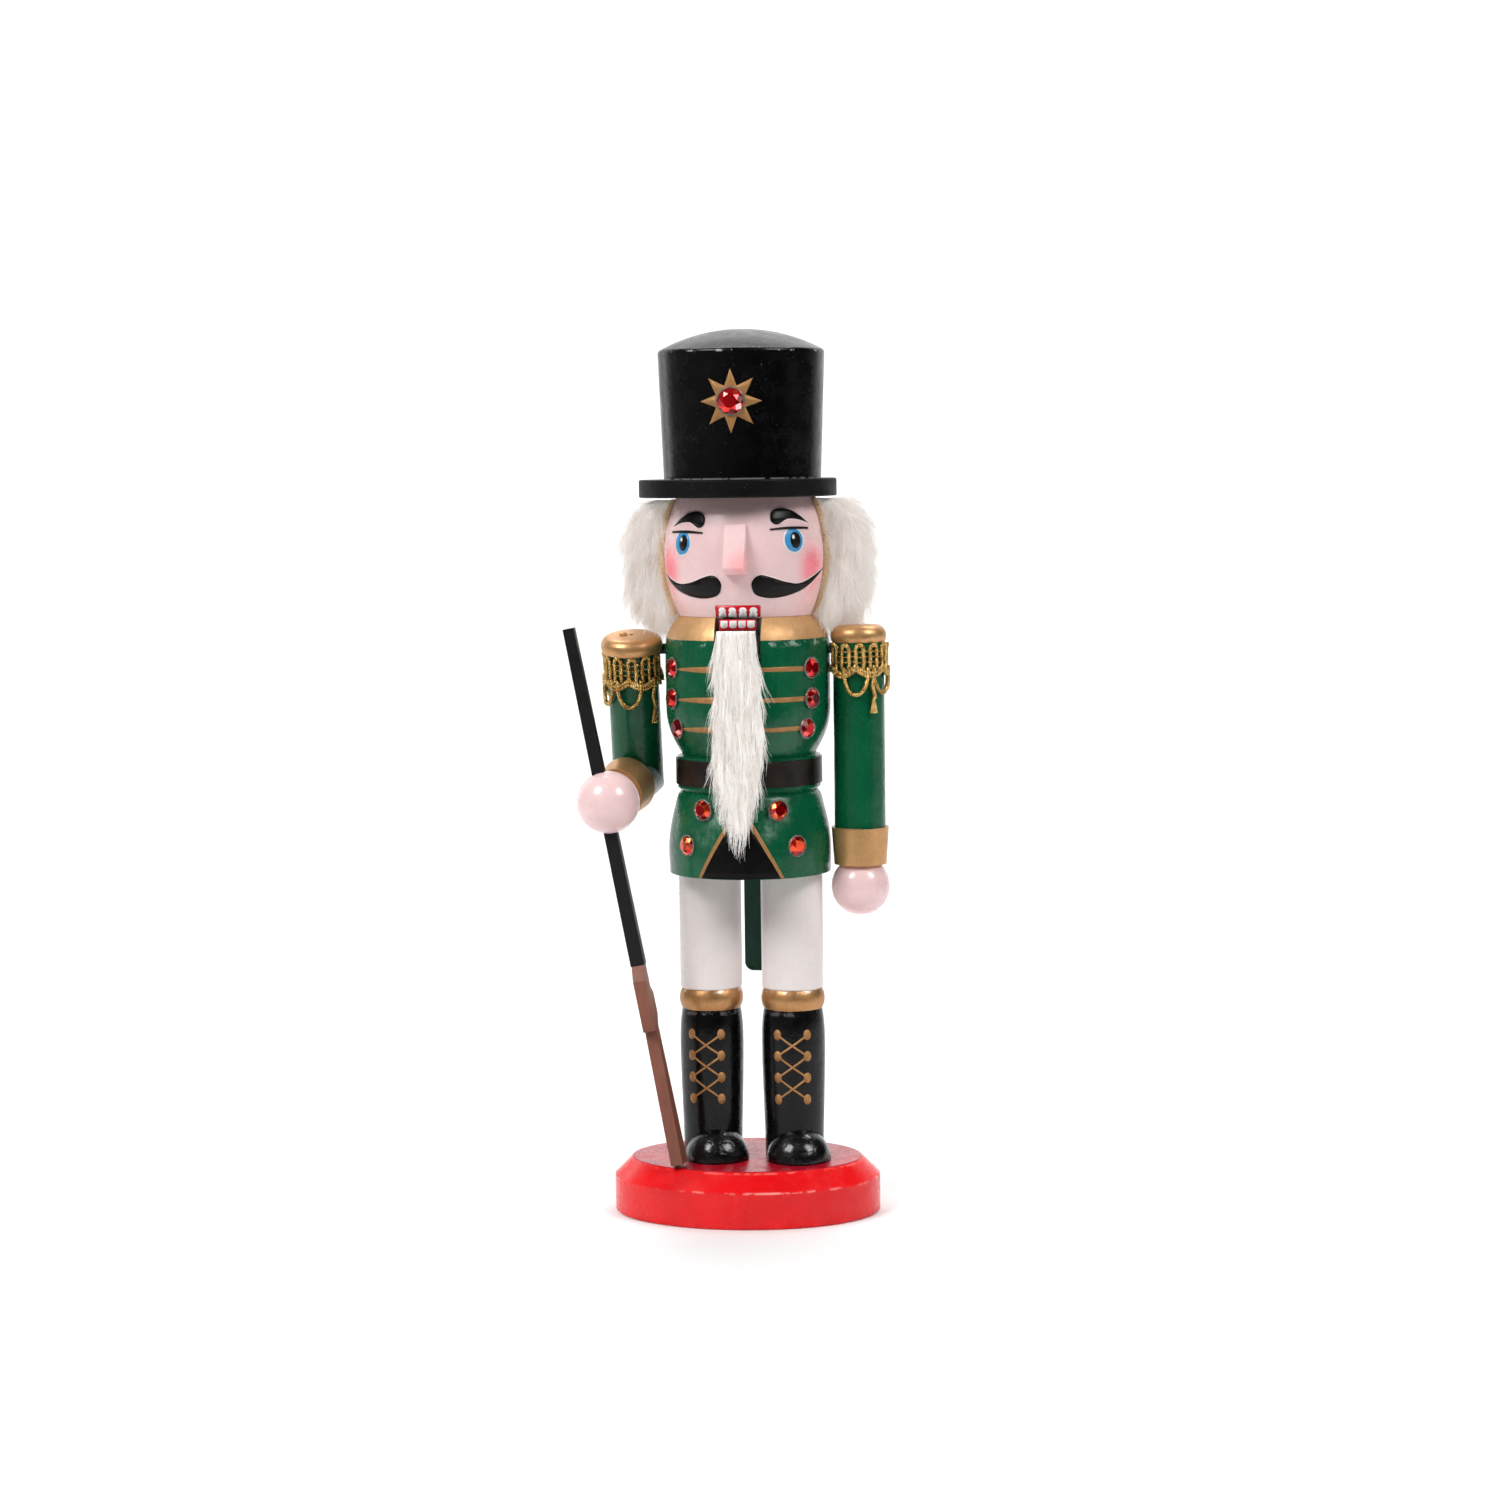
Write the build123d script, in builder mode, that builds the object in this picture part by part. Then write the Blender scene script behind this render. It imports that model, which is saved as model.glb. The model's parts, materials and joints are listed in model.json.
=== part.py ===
"""Wooden nutcracker figure, 250 mm tall: turned, doweled and glued pieces with one moving jaw lever.

Millimetres. Origin on the base's underside, midway between the legs, +Z up, the figure's front faces
-Y, and the figure's own left arm is on +X. The board is glued on 2 mm off the figure's middle.
"""

import os

from math import asin, cos, degrees, radians, sin

from build123d import *

os.makedirs("parts", exist_ok=True)

# Base board
BASE_LENGTH = 76.0
BASE_WIDTH = 57.0
BASE_HEIGHT = 15.5
BASE_SHIFT_X = -2.0
BASE_BEVEL = 5.2
BASE_BOTTOM_ROUND = 0.8

# Legs, one turning each
LEG_X = 11.7
BOOT_FOOT_R = 8.3
BOOT_CALF_R = 9.0
BOOT_CALF_Z = 47.0
BOOT_TOP_R = 8.3
BOOT_TOP_Z = 58.2
BOOT_CALF_DRAW = 0.1
BOOT_CALF_LENGTH = 6.0
TROUSER_CHAMFER = 0.5
LEG_RING_R = 9.05
LEG_RING_TOP_Z = 64.0
TROUSER_R = 8.8
LEG_TOP_Z = 97.5
TOE_R = 9.2
TOE_FORWARD = 5.6
TOE_SHIFT_X = 1.8

# Torso, one turning
SKIRT_R = 22.8
SKIRT_BELLY_R = 23.0
SKIRT_BELLY_Z = 103.0
SKIRT_TOP_R = 19.2
SKIRT_TOP_Z = 120.6
WAIST_R = 20.2
WAIST_LOW_Z = 121.7
WAIST_TOP_Z = 130.5
NECKED_R = 18.9
CHEST_LOW_R = 19.75
CHEST_LOW_Z = 132.6
CHEST_R = 23.25
CHEST_FULL_Z = 146.0
CHEST_TOP_Z = 160.0
COLLAR_LOW_R = 22.85
COLLAR_LOW_Z = 164.0
COLLAR_TOP_R = 19.1
TORSO_TOP_Z = 170.1
BELT_LOW_Z = 122.7
BELT_TOP_Z = 129.9
BELT_THICK = 0.5

# Jaw slot, lever and pin
SLOT_WIDTH = 13.0
SLOT_FLOOR_Z = 140.0
LEVER_WIDTH = 10.4
PIN_Y = 2.0
PIN_Z = 156.0
PIN_R = 1.5
PIN_LENGTH = 44.0
PIN_CLEARANCE = 0.06
JAW_FRONT_Y = -20.6
JAW_LEAN = 0.6
JAW_LEAN_Z = 160.0
JAW_TOP_Z = 169.7
TAIL_FRONT_Y = 24.6
TAIL_BACK_Y = 29.5
TAIL_LOW_Z = 64.8
TAIL_TOP_Z = 160.0

# Head, nose, hair
HEAD_LOW_R = 19.3
GLUE_SEAM = 0.05
HEAD_LOW_Z = TORSO_TOP_Z + GLUE_SEAM
HEAD_R = 23.25
HEAD_TOP_R = 19.5
HEAD_MID_Z = 187.0
HEAD_TOP_Z = 203.2
NOSE_WIDTH = 5.8
NOSE_SEAT = 2.2
NOSE_TOP_STEP = 0.4
NOSE_UNDERCUT = 0.8
NOSE_ROUND = 0.5
NOSE_TOP_Z = 195.8
NOSE_TIP_Z = 184.0
NOSE_LOW_Z = 182.3
NOSE_TIP_Y = -28.6
HAIR_R = 34.6
HAIR_LOW_R = 27.5
HAIR_TOP_R = 26.0
HAIR_WIDEST_Z = 184.0
HAIR_LOW_Z = 169.3
HAIR_TOP_Z = 202.6
HAIR_FRONT_ANGLE = 80.0
HAIR_CUT = 50.0
HAIR_LOW_TANGENT = (1, 0.5)
HAIR_TOP_TANGENT = (-1, 0.4)

# Hat
BRIM_R = 27.8
BRIM_SHIFT_X = -2.2
CROWN_SHIFT_X = -0.8
BRIM_TOP_Z = 208.2
BRIM_ROUND = 0.5
CROWN_LOW_R = 22.1
CROWN_TOP_R = 23.4
CROWN_EDGE_Z = 243.9
CROWN_EDGE_ROUND = 1.2
TOP_Z = 250.0
HAT_GEM_Z = 229.6
HAT_GEM_R = 3.7

# Arms
LEFT_ARM_X = 31.4
SLEEVE_R = 7.2
LEFT_CAP_R = 7.8
LEFT_CAP_LOW_Z = 162.2
LEFT_CAP_TOP_Z = 167.0
CUFF_WIDE_R = 8.1
CUFF_NARROW_R = 7.4
LEFT_CUFF_TOP_Z = 110.0
LEFT_CUFF_LOW_Z = 99.5
HAND_R = 8.3
RIGHT_HAND_R = 8.8
LEFT_HAND_Z = 93.2
ELBOW = (-32.6, 5.0, 124.0)
ARM_LEAN = 12.0
UPPER_ARM_LENGTH = 41.6
RIGHT_CAP_R = 8.7
RIGHT_CAP_HEIGHT = 4.6
FOREARM_OUTWARD = 11.0
FOREARM_DOWN = 12.0
FOREARM_TO_HAND = 25.0
CUFF_LENGTH = 9.0
BALL_SEAT = 0.62
LACE_DROP = 15.0
LACE_THICK = 1.2

# Rifle, cut from one board
RIFLE_BUTT = (-18.9, -17.0, BASE_HEIGHT + 0.4)
RIFLE_TOP = (-47.4, -20.1, 167.4)
BARREL_SIZE = 4.0
MUZZLE_SIZE = 3.2

# Dowels, screws, gems
DOWEL_R = 3.0
SMALL_DOWEL_R = 2.0
FINE_DOWEL_R = 1.5
SCREW_HEAD_R = 3.2
SCREW_TIP_Z = 26.0
SCREW_RECESS = 0.5
SCREW_SLOT = 0.8
SCREW_SLOT_DEPTH = 1.0
GEM_R = 2.8
GEM_HEIGHT = 1.7
GEM_SIDES = 12
# Each gem: angle from the front, height.
CHEST_GEM_PLACES = ((56.0, 155.8), (56.5, 147.3), (53.0, 139.1))
CHEST_SLOPE = 0.11
SKIRT_SLOPE = 0.09
SKIRT_GEM_PLACES = ((29.0, 116.6), (42.3, 106.4))
HAT_GEM_HEIGHT = 2.1
GEM_SINK = 0.1
TABLE_SHARE = 0.52
GIRDLE_SHARE = 0.25


def write(name, builder):
    """Label a finished piece and write it as its own STEP file."""
    builder.part.label = name
    export_step(builder.part, f"parts/{name}.step")


def bore(x, y, low_z, high_z, radius):
    """Cut a vertical hole out of the piece that is being built."""
    with BuildSketch(Plane.XY.offset(low_z)) as hole:
        with Locations((x, y)):
            Circle(radius)
    extrude(hole.sketch, amount=high_z - low_z, mode=Mode.SUBTRACT)


def rod(x, y, low_z, high_z, radius):
    """Add a vertical dowel to the piece that is being built."""
    with BuildSketch(Plane.XY.offset(low_z)) as section:
        with Locations((x, y)):
            Circle(radius)
    extrude(section.sketch, amount=high_z - low_z)


def side_bore(x_low, x_high, y, z, radius, mode=Mode.SUBTRACT):
    """Cut, or with Mode.ADD make, a round bar along X in the piece that is being built."""
    with BuildSketch(Plane.YZ.offset(x_low)) as section:
        with Locations((y, z)):
            Circle(radius)
    extrude(section.sketch, amount=x_high - x_low, mode=mode)


# ---------------------------------------------------------------- base and its screws

SCREW_X = LEG_X
SCREW_SEAT_Z = SCREW_RECESS + SCREW_HEAD_R - FINE_DOWEL_R

with BuildPart() as base:
    with BuildSketch():
        with Locations((BASE_SHIFT_X, 0)):
            Ellipse(BASE_LENGTH / 2, BASE_WIDTH / 2)
    extrude(amount=BASE_HEIGHT)
    chamfer(base.edges().group_by(Axis.Z)[-1], length=BASE_BEVEL)
    fillet(base.edges().group_by(Axis.Z)[0], radius=BASE_BOTTOM_ROUND)
    for side in (-1, 1):
        with BuildSketch(Plane.XZ):
            with BuildLine():
                Polyline(
                    (side * SCREW_X, 0),
                    (side * SCREW_X + SCREW_HEAD_R, 0),
                    (side * SCREW_X + SCREW_HEAD_R, SCREW_RECESS),
                    (side * SCREW_X + FINE_DOWEL_R, SCREW_SEAT_Z),
                    (side * SCREW_X + FINE_DOWEL_R, BASE_HEIGHT),
                    (side * SCREW_X, BASE_HEIGHT),
                    close=True,
                )
            make_face()
        revolve(axis=Axis((side * SCREW_X, 0, 0), (0, 0, 1)), mode=Mode.SUBTRACT)
write("base", base)

with BuildPart() as base_screws:
    for side in (-1, 1):
        with BuildSketch(Plane.XZ):
            with BuildLine():
                Polyline(
                    (side * SCREW_X, SCREW_RECESS),
                    (side * SCREW_X + SCREW_HEAD_R, SCREW_RECESS),
                    (side * SCREW_X + FINE_DOWEL_R, SCREW_SEAT_Z),
                    (side * SCREW_X + FINE_DOWEL_R, SCREW_TIP_Z - 2 * FINE_DOWEL_R),
                    (side * SCREW_X, SCREW_TIP_Z),
                    close=True,
                )
            make_face()
        revolve(axis=Axis((side * SCREW_X, 0, 0), (0, 0, 1)))
        with BuildSketch(Plane.XY.offset(SCREW_RECESS)):
            with Locations((side * SCREW_X, 0)):
                Rectangle(SCREW_HEAD_R, SCREW_SLOT)
                Rectangle(SCREW_SLOT, SCREW_HEAD_R)
        extrude(amount=SCREW_SLOT_DEPTH, mode=Mode.SUBTRACT)
write("base_screws", base_screws)

# ---------------------------------------------------------------- legs, toes and their dowels

LEG_DOWEL_LOW_Z = LEG_TOP_Z - 10.0
LEG_DOWEL_TOP_Z = LEG_TOP_Z + 10.0


def make_leg(side):
    """A leg: boot with a full calf, half-round gold bead, straight trouser."""
    x = side * LEG_X
    bead_mid = (BOOT_TOP_Z + LEG_RING_TOP_Z) / 2
    ring_top_x = x + TROUSER_R - TROUSER_CHAMFER
    hem_z = LEG_RING_TOP_Z + TROUSER_CHAMFER
    with BuildPart() as leg:
        with BuildSketch(Plane.XZ):
            with BuildLine():
                Line((x, BASE_HEIGHT), (x + BOOT_FOOT_R, BASE_HEIGHT))
                Spline(
                    (x + BOOT_FOOT_R, BASE_HEIGHT),
                    (x + (BOOT_FOOT_R + BOOT_CALF_R) / 2, (BASE_HEIGHT + BOOT_CALF_Z) / 2),
                    (x + BOOT_CALF_R, BOOT_CALF_Z),
                    (x + BOOT_CALF_R - BOOT_CALF_DRAW, BOOT_CALF_Z + BOOT_CALF_LENGTH),
                    (x + BOOT_TOP_R, BOOT_TOP_Z),
                )
                ThreePointArc(
                    (x + BOOT_TOP_R, BOOT_TOP_Z),
                    (x + LEG_RING_R, bead_mid),
                    (ring_top_x, LEG_RING_TOP_Z),
                )
                Line((ring_top_x, LEG_RING_TOP_Z), (x + TROUSER_R, hem_z))
                Line((x + TROUSER_R, hem_z), (x + TROUSER_R, LEG_TOP_Z))
                Line((x + TROUSER_R, LEG_TOP_Z), (x, LEG_TOP_Z))
                Line((x, LEG_TOP_Z), (x, BASE_HEIGHT))
            make_face()
        revolve(axis=Axis((x, 0, 0), (0, 0, 1)))
        bore(x, 0, LEG_DOWEL_LOW_Z, LEG_TOP_Z, DOWEL_R)
        bore(x, 0, BASE_HEIGHT, SCREW_TIP_Z, FINE_DOWEL_R)
    return leg


def make_toe(side, leg):
    """A quarter ball glued in front of the boot and flat on the base."""
    with BuildPart() as toe:
        with Locations((side * LEG_X + TOE_SHIFT_X, -TOE_FORWARD, BASE_HEIGHT)):
            Sphere(TOE_R)
        split(bisect_by=Plane.XY.offset(BASE_HEIGHT), keep=Keep.TOP)
        add(leg.part, mode=Mode.SUBTRACT)
        bore(side * LEG_X, 0, BASE_HEIGHT, BASE_HEIGHT + TOE_R, BOOT_FOOT_R)
    return toe


left_leg = make_leg(1)
write("left_leg", left_leg)
right_leg = make_leg(-1)
write("right_leg", right_leg)
left_shoe = make_toe(1, left_leg)
write("left_shoe", left_shoe)
right_shoe = make_toe(-1, right_leg)
write("right_shoe", right_shoe)

with BuildPart() as leg_dowels:
    for side in (-1, 1):
        rod(side * LEG_X, 0, LEG_DOWEL_LOW_Z, LEG_DOWEL_TOP_Z, DOWEL_R)
write("leg_dowels", leg_dowels)

# ---------------------------------------------------------------- torso and belt

NECK_DOWEL_X = 12.5
NECK_DOWEL_LOW_Z = TORSO_TOP_Z - 9.0
NECK_DOWEL_TOP_Z = TORSO_TOP_Z + 9.0
SHOULDER_DOWEL_Z = 160.5
SHOULDER_DOWEL_IN = 15.5
SHOULDER_DOWEL_OUT = 29.0

with BuildPart() as torso:
    with BuildSketch(Plane.XZ):
        with BuildLine():
            Line((0, LEG_TOP_Z), (SKIRT_R, LEG_TOP_Z))
            Spline(
                (SKIRT_R, LEG_TOP_Z),
                (SKIRT_BELLY_R, SKIRT_BELLY_Z),
                (SKIRT_BELLY_R - 0.9, 112.0),
                (SKIRT_BELLY_R - 2.2, 117.4),
                (SKIRT_TOP_R, SKIRT_TOP_Z),
                tangents=((0, 1), (-1, 0.6)),
            )
            Polyline(
                (SKIRT_TOP_R, SKIRT_TOP_Z),
                (WAIST_R, WAIST_LOW_Z),
                (WAIST_R, WAIST_TOP_Z),
                (NECKED_R, WAIST_TOP_Z + 0.4),
            )
            Spline(
                (NECKED_R, WAIST_TOP_Z + 0.4),
                (CHEST_LOW_R, CHEST_LOW_Z),
                (22.0, 137.3),
                (CHEST_R, CHEST_FULL_Z),
                tangents=((0.35, 1), (0, 1)),
            )
            Line((CHEST_R, CHEST_FULL_Z), (CHEST_R, CHEST_TOP_Z))
            Spline(
                (CHEST_R, CHEST_TOP_Z),
                (COLLAR_LOW_R, COLLAR_LOW_Z),
                (COLLAR_TOP_R, TORSO_TOP_Z),
                tangents=((0, 1), (-1, 1)),
            )
            Line((COLLAR_TOP_R, TORSO_TOP_Z), (0, TORSO_TOP_Z))
            Line((0, TORSO_TOP_Z), (0, LEG_TOP_Z))
        make_face()
    revolve(axis=Axis.Z)
    # The slot runs from front to back and is open at the top.
    with BuildSketch(Plane.XY.offset(SLOT_FLOOR_Z)):
        Rectangle(SLOT_WIDTH, 3 * CHEST_R)
    extrude(amount=TORSO_TOP_Z - SLOT_FLOOR_Z, mode=Mode.SUBTRACT)
    side_bore(-CHEST_R, CHEST_R, PIN_Y, PIN_Z, PIN_R)
    for side in (-1, 1):
        bore(side * LEG_X, 0, LEG_TOP_Z, LEG_DOWEL_TOP_Z, DOWEL_R)
        bore(side * NECK_DOWEL_X, 0, NECK_DOWEL_LOW_Z, TORSO_TOP_Z, SMALL_DOWEL_R)
    side_bore(-CHEST_R, -SHOULDER_DOWEL_IN, 0, SHOULDER_DOWEL_Z, FINE_DOWEL_R)
    side_bore(SHOULDER_DOWEL_IN, CHEST_R, 0, SHOULDER_DOWEL_Z, FINE_DOWEL_R)
write("torso", torso)

with BuildPart() as belt:
    with BuildSketch(Plane.XY.offset(BELT_LOW_Z)):
        Circle(WAIST_R + BELT_THICK)
        Circle(WAIST_R, mode=Mode.SUBTRACT)
    extrude(amount=BELT_TOP_Z - BELT_LOW_Z)
write("belt", belt)

with BuildPart() as neck_dowels:
    for side in (-1, 1):
        rod(side * NECK_DOWEL_X, 0, NECK_DOWEL_LOW_Z, NECK_DOWEL_TOP_Z, SMALL_DOWEL_R)
write("neck_dowels", neck_dowels)

# ---------------------------------------------------------------- jaw lever, pin and beard

with BuildPart() as jaw_lever:
    with BuildSketch(Plane.YZ.offset(-LEVER_WIDTH / 2)) as lever_side:
        with BuildLine():
            Polyline(
                (JAW_FRONT_Y, JAW_TOP_Z),
                (JAW_FRONT_Y - JAW_LEAN, JAW_LEAN_Z),
                (JAW_FRONT_Y - JAW_LEAN, 150.0),
                (-12.0, 146.5),
                (TAIL_FRONT_Y, 149.0),
                (TAIL_FRONT_Y, TAIL_LOW_Z),
                (TAIL_BACK_Y, TAIL_LOW_Z),
                (TAIL_BACK_Y, TAIL_TOP_Z - 3.0),
                (TAIL_FRONT_Y + 1.5, TAIL_TOP_Z),
                (10.0, 166.0),
                (-8.0, JAW_TOP_Z),
                close=True,
            )
        make_face()
    extrude(amount=LEVER_WIDTH)
    tail_corners = jaw_lever.edges().filter_by(Axis.Y).group_by(Axis.Z)[0]
    fillet(tail_corners, radius=2.5)
    side_bore(-LEVER_WIDTH / 2, LEVER_WIDTH / 2, PIN_Y, PIN_Z, PIN_R + PIN_CLEARANCE)
write("jaw_lever", jaw_lever)

with BuildPart() as jaw_pin:
    side_bore(-PIN_LENGTH / 2, PIN_LENGTH / 2, PIN_Y, PIN_Z, PIN_R, mode=Mode.ADD)
    chamfer(jaw_pin.edges().filter_by(GeomType.CIRCLE), length=0.3)
write("jaw_pin", jaw_pin)

BEARD_TOP_Z = 166.6
BEARD_TIP_Z = 106.7
BEARD_BACK_Y = -(CHEST_R + 0.35)
BEARD_FRONT_Y = BEARD_BACK_Y - 2.6
BEARD_ROOT_HALF = 5.0
BEARD_ROOT_LOW_Z = 151.0
BEARD_ROOT_IN = 0.2
BEARD_ROOT_LEAN = JAW_LEAN * (BEARD_TOP_Z - JAW_LEAN_Z) / (JAW_TOP_Z - JAW_LEAN_Z)

with BuildPart() as beard:
    # Flat tongue of fur hanging down the chest.
    with BuildSketch(Plane.XZ.offset(-BEARD_BACK_Y)):
        with BuildLine():
            Polyline(
                (-BEARD_ROOT_HALF - 1.0, BEARD_TOP_Z - 1.0),
                (BEARD_ROOT_HALF + 1.0, BEARD_TOP_Z - 1.0),
                (7.8, 147.0),
                (8.0, 134.0),
                (6.6, 124.0),
                (3.0, 116.0),
                (0.6, BEARD_TIP_Z),
                (-1.6, BEARD_TIP_Z + 4.0),
                (-6.4, 124.0),
                (-7.8, 136.0),
                (-7.4, 147.0),
                close=True,
            )
        make_face()
    extrude(amount=BEARD_BACK_Y - BEARD_FRONT_Y)
    # Glued root, which fills from the tongue back to the jaw's front between the slot walls.
    with BuildSketch(Plane.YZ.offset(-BEARD_ROOT_HALF)):
        with BuildLine():
            Polyline(
                (BEARD_FRONT_Y + BEARD_ROOT_IN, BEARD_TOP_Z),
                (JAW_FRONT_Y - JAW_LEAN + BEARD_ROOT_LEAN, BEARD_TOP_Z),
                (JAW_FRONT_Y - JAW_LEAN, JAW_LEAN_Z),
                (JAW_FRONT_Y - JAW_LEAN, BEARD_ROOT_LOW_Z),
                (BEARD_FRONT_Y + BEARD_ROOT_IN, BEARD_ROOT_LOW_Z),
                close=True,
            )
        make_face()
    extrude(amount=2 * BEARD_ROOT_HALF)
write("beard", beard)

# ---------------------------------------------------------------- head, nose, hair

HAT_DOWEL_R = 4.0
HAT_DOWEL_LOW_Z = 192.0
HAT_DOWEL_TOP_Z = 220.0

with BuildPart() as head:
    with BuildSketch(Plane.XZ):
        with BuildLine():
            Line((0, HEAD_LOW_Z), (HEAD_LOW_R, HEAD_LOW_Z))
            Spline(
                (HEAD_LOW_R, HEAD_LOW_Z),
                (HEAD_R, HEAD_MID_Z),
                (HEAD_TOP_R, HEAD_TOP_Z),
            )
            Line((HEAD_TOP_R, HEAD_TOP_Z), (0, HEAD_TOP_Z))
            Line((0, HEAD_TOP_Z), (0, HEAD_LOW_Z))
        make_face()
    revolve(axis=Axis.Z)
    for side in (-1, 1):
        bore(side * NECK_DOWEL_X, 0, TORSO_TOP_Z, NECK_DOWEL_TOP_Z, SMALL_DOWEL_R)
    bore(0, 0, HAT_DOWEL_LOW_Z, HEAD_TOP_Z, HAT_DOWEL_R)
write("head", head)

with BuildPart() as nose:
    with BuildSketch(Plane.YZ.offset(-NOSE_WIDTH / 2)):
        with BuildLine():
            Polyline(
                (-HEAD_R + NOSE_SEAT, NOSE_TOP_Z),
                (-HEAD_R + NOSE_TOP_STEP, NOSE_TOP_Z),
                (NOSE_TIP_Y, NOSE_TIP_Z),
                (NOSE_TIP_Y + NOSE_UNDERCUT, NOSE_LOW_Z),
                (-HEAD_R + NOSE_SEAT, NOSE_LOW_Z),
                close=True,
            )
        make_face()
    extrude(amount=NOSE_WIDTH)
    add(head.part, mode=Mode.SUBTRACT)
    fillet(nose.edges().filter_by(Axis.X).group_by(Axis.Y)[0], radius=NOSE_ROUND)
write("nose", nose)

with BuildPart() as hair:
    with BuildSketch(Plane.XZ):
        with BuildLine():
            Line((0, HAIR_LOW_Z), (HAIR_LOW_R, HAIR_LOW_Z))
            Spline(
                (HAIR_LOW_R, HAIR_LOW_Z),
                (HAIR_R, HAIR_WIDEST_Z),
                (HAIR_TOP_R, HAIR_TOP_Z),
                tangents=(HAIR_LOW_TANGENT, HAIR_TOP_TANGENT),
            )
            Line((HAIR_TOP_R, HAIR_TOP_Z), (0, HAIR_TOP_Z))
            Line((0, HAIR_TOP_Z), (0, HAIR_LOW_Z))
        make_face()
    revolve(axis=Axis.Z)
    # The face side is left open.
    with BuildSketch(Plane.XY.offset(HAIR_LOW_Z)):
        with BuildLine():
            Polyline(
                (0, 0),
                (-HAIR_CUT * sin(radians(HAIR_FRONT_ANGLE)), -HAIR_CUT * cos(radians(HAIR_FRONT_ANGLE))),
                (-HAIR_CUT, -HAIR_CUT),
                (HAIR_CUT, -HAIR_CUT),
                (HAIR_CUT * sin(radians(HAIR_FRONT_ANGLE)), -HAIR_CUT * cos(radians(HAIR_FRONT_ANGLE))),
                close=True,
            )
        make_face()
    extrude(amount=HAIR_TOP_Z - HAIR_LOW_Z, mode=Mode.SUBTRACT)
    add(head.part, mode=Mode.SUBTRACT)
    # The cap of the neck and the head's own holes stay free of fur.
    with BuildSketch(Plane.XY.offset(HAIR_LOW_Z)):
        Circle(HEAD_LOW_R)
    extrude(amount=HAIR_TOP_Z - HAIR_LOW_Z, mode=Mode.SUBTRACT)
    add(torso.part, mode=Mode.SUBTRACT)
write("hair", hair)

# ---------------------------------------------------------------- hat

with BuildPart() as hat_brim:
    with BuildSketch(Plane.XY.offset(HEAD_TOP_Z)):
        with Locations((BRIM_SHIFT_X, 0)):
            Circle(BRIM_R)
        Circle(HAT_DOWEL_R, mode=Mode.SUBTRACT)
    extrude(amount=BRIM_TOP_Z - HEAD_TOP_Z)
    rims = hat_brim.edges().filter_by(GeomType.CIRCLE).sort_by(SortBy.RADIUS)[-2:]
    fillet(rims, radius=BRIM_ROUND)
write("hat_brim", hat_brim)

dome_rise = TOP_Z - CROWN_EDGE_Z
dome_r = (CROWN_TOP_R**2 + dome_rise**2) / (2 * dome_rise)
dome_half_angle = degrees(asin(CROWN_TOP_R / dome_r))

with BuildPart() as hat_crown:
    with BuildSketch(Plane(origin=(CROWN_SHIFT_X, 0, 0), x_dir=(1, 0, 0), z_dir=(0, -1, 0))) as crown_side:
        with BuildLine():
            Line((0, BRIM_TOP_Z), (CROWN_LOW_R, BRIM_TOP_Z))
            Line((CROWN_LOW_R, BRIM_TOP_Z), (CROWN_TOP_R, CROWN_EDGE_Z))
            CenterArc((0, TOP_Z - dome_r), dome_r, 90 - dome_half_angle, dome_half_angle)
            Line((0, TOP_Z), (0, BRIM_TOP_Z))
        make_face()
        fillet(crown_side.vertices().sort_by(Axis.X)[-1], radius=CROWN_EDGE_ROUND)
    revolve(axis=Axis((CROWN_SHIFT_X, 0, 0), (0, 0, 1)))
    bore(0, 0, BRIM_TOP_Z, HAT_DOWEL_TOP_Z, HAT_DOWEL_R)
write("hat_crown", hat_crown)

with BuildPart() as hat_dowel:
    rod(0, 0, HAT_DOWEL_LOW_Z, HAT_DOWEL_TOP_Z, HAT_DOWEL_R)
write("hat_dowel", hat_dowel)

# ---------------------------------------------------------------- arms


PEG_HOLE_R = 0.7
PEG_HOLE_DEPTH = 3.0


def turned_cap(outer_r, sleeve_r, height):
    """Profile lines of a shoulder cap, from its underside at height 0 up to its slightly domed top."""
    Line((sleeve_r, 0), (outer_r - 0.4, 0))
    ThreePointArc((outer_r - 0.4, 0), (outer_r, 1.1), (outer_r - 0.25, height - 1.6))
    ThreePointArc((outer_r - 0.25, height - 1.6), (outer_r - 1.2, height - 0.5), (outer_r - 2.6, height))
    Line((outer_r - 2.6, height), (0, height))


LEFT_ARM = Plane(origin=(LEFT_ARM_X, 0, LEFT_CAP_LOW_Z), x_dir=(1, 0, 0), z_dir=(0, -1, 0))
SLEEVE_LENGTH = LEFT_CAP_LOW_Z - LEFT_CUFF_TOP_Z
CUFF_DROP = LEFT_CAP_LOW_Z - LEFT_CUFF_LOW_Z
HAND_DOWEL_LENGTH = 9.0

with BuildPart() as left_arm:
    with BuildSketch(LEFT_ARM):
        with BuildLine():
            turned_cap(LEFT_CAP_R, SLEEVE_R, LEFT_CAP_TOP_Z - LEFT_CAP_LOW_Z)
            Polyline(
                (0, LEFT_CAP_TOP_Z - LEFT_CAP_LOW_Z),
                (0, -CUFF_DROP),
                (CUFF_NARROW_R, -CUFF_DROP),
                (CUFF_WIDE_R, -SLEEVE_LENGTH),
                (SLEEVE_R, -SLEEVE_LENGTH),
                (SLEEVE_R, 0),
            )
        make_face()
    revolve(axis=Axis((LEFT_ARM_X, 0, 0), (0, 0, 1)))
    side_bore(LEFT_ARM_X - 2 * SLEEVE_R, SHOULDER_DOWEL_OUT, 0, SHOULDER_DOWEL_Z, FINE_DOWEL_R)
    bore(LEFT_ARM_X, 0, LEFT_CUFF_LOW_Z, LEFT_CUFF_LOW_Z + HAND_DOWEL_LENGTH / 2, FINE_DOWEL_R)
    bore(LEFT_ARM_X, 0, LEFT_CAP_TOP_Z - PEG_HOLE_DEPTH, LEFT_CAP_TOP_Z, PEG_HOLE_R)
write("left_arm", left_arm)

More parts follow.
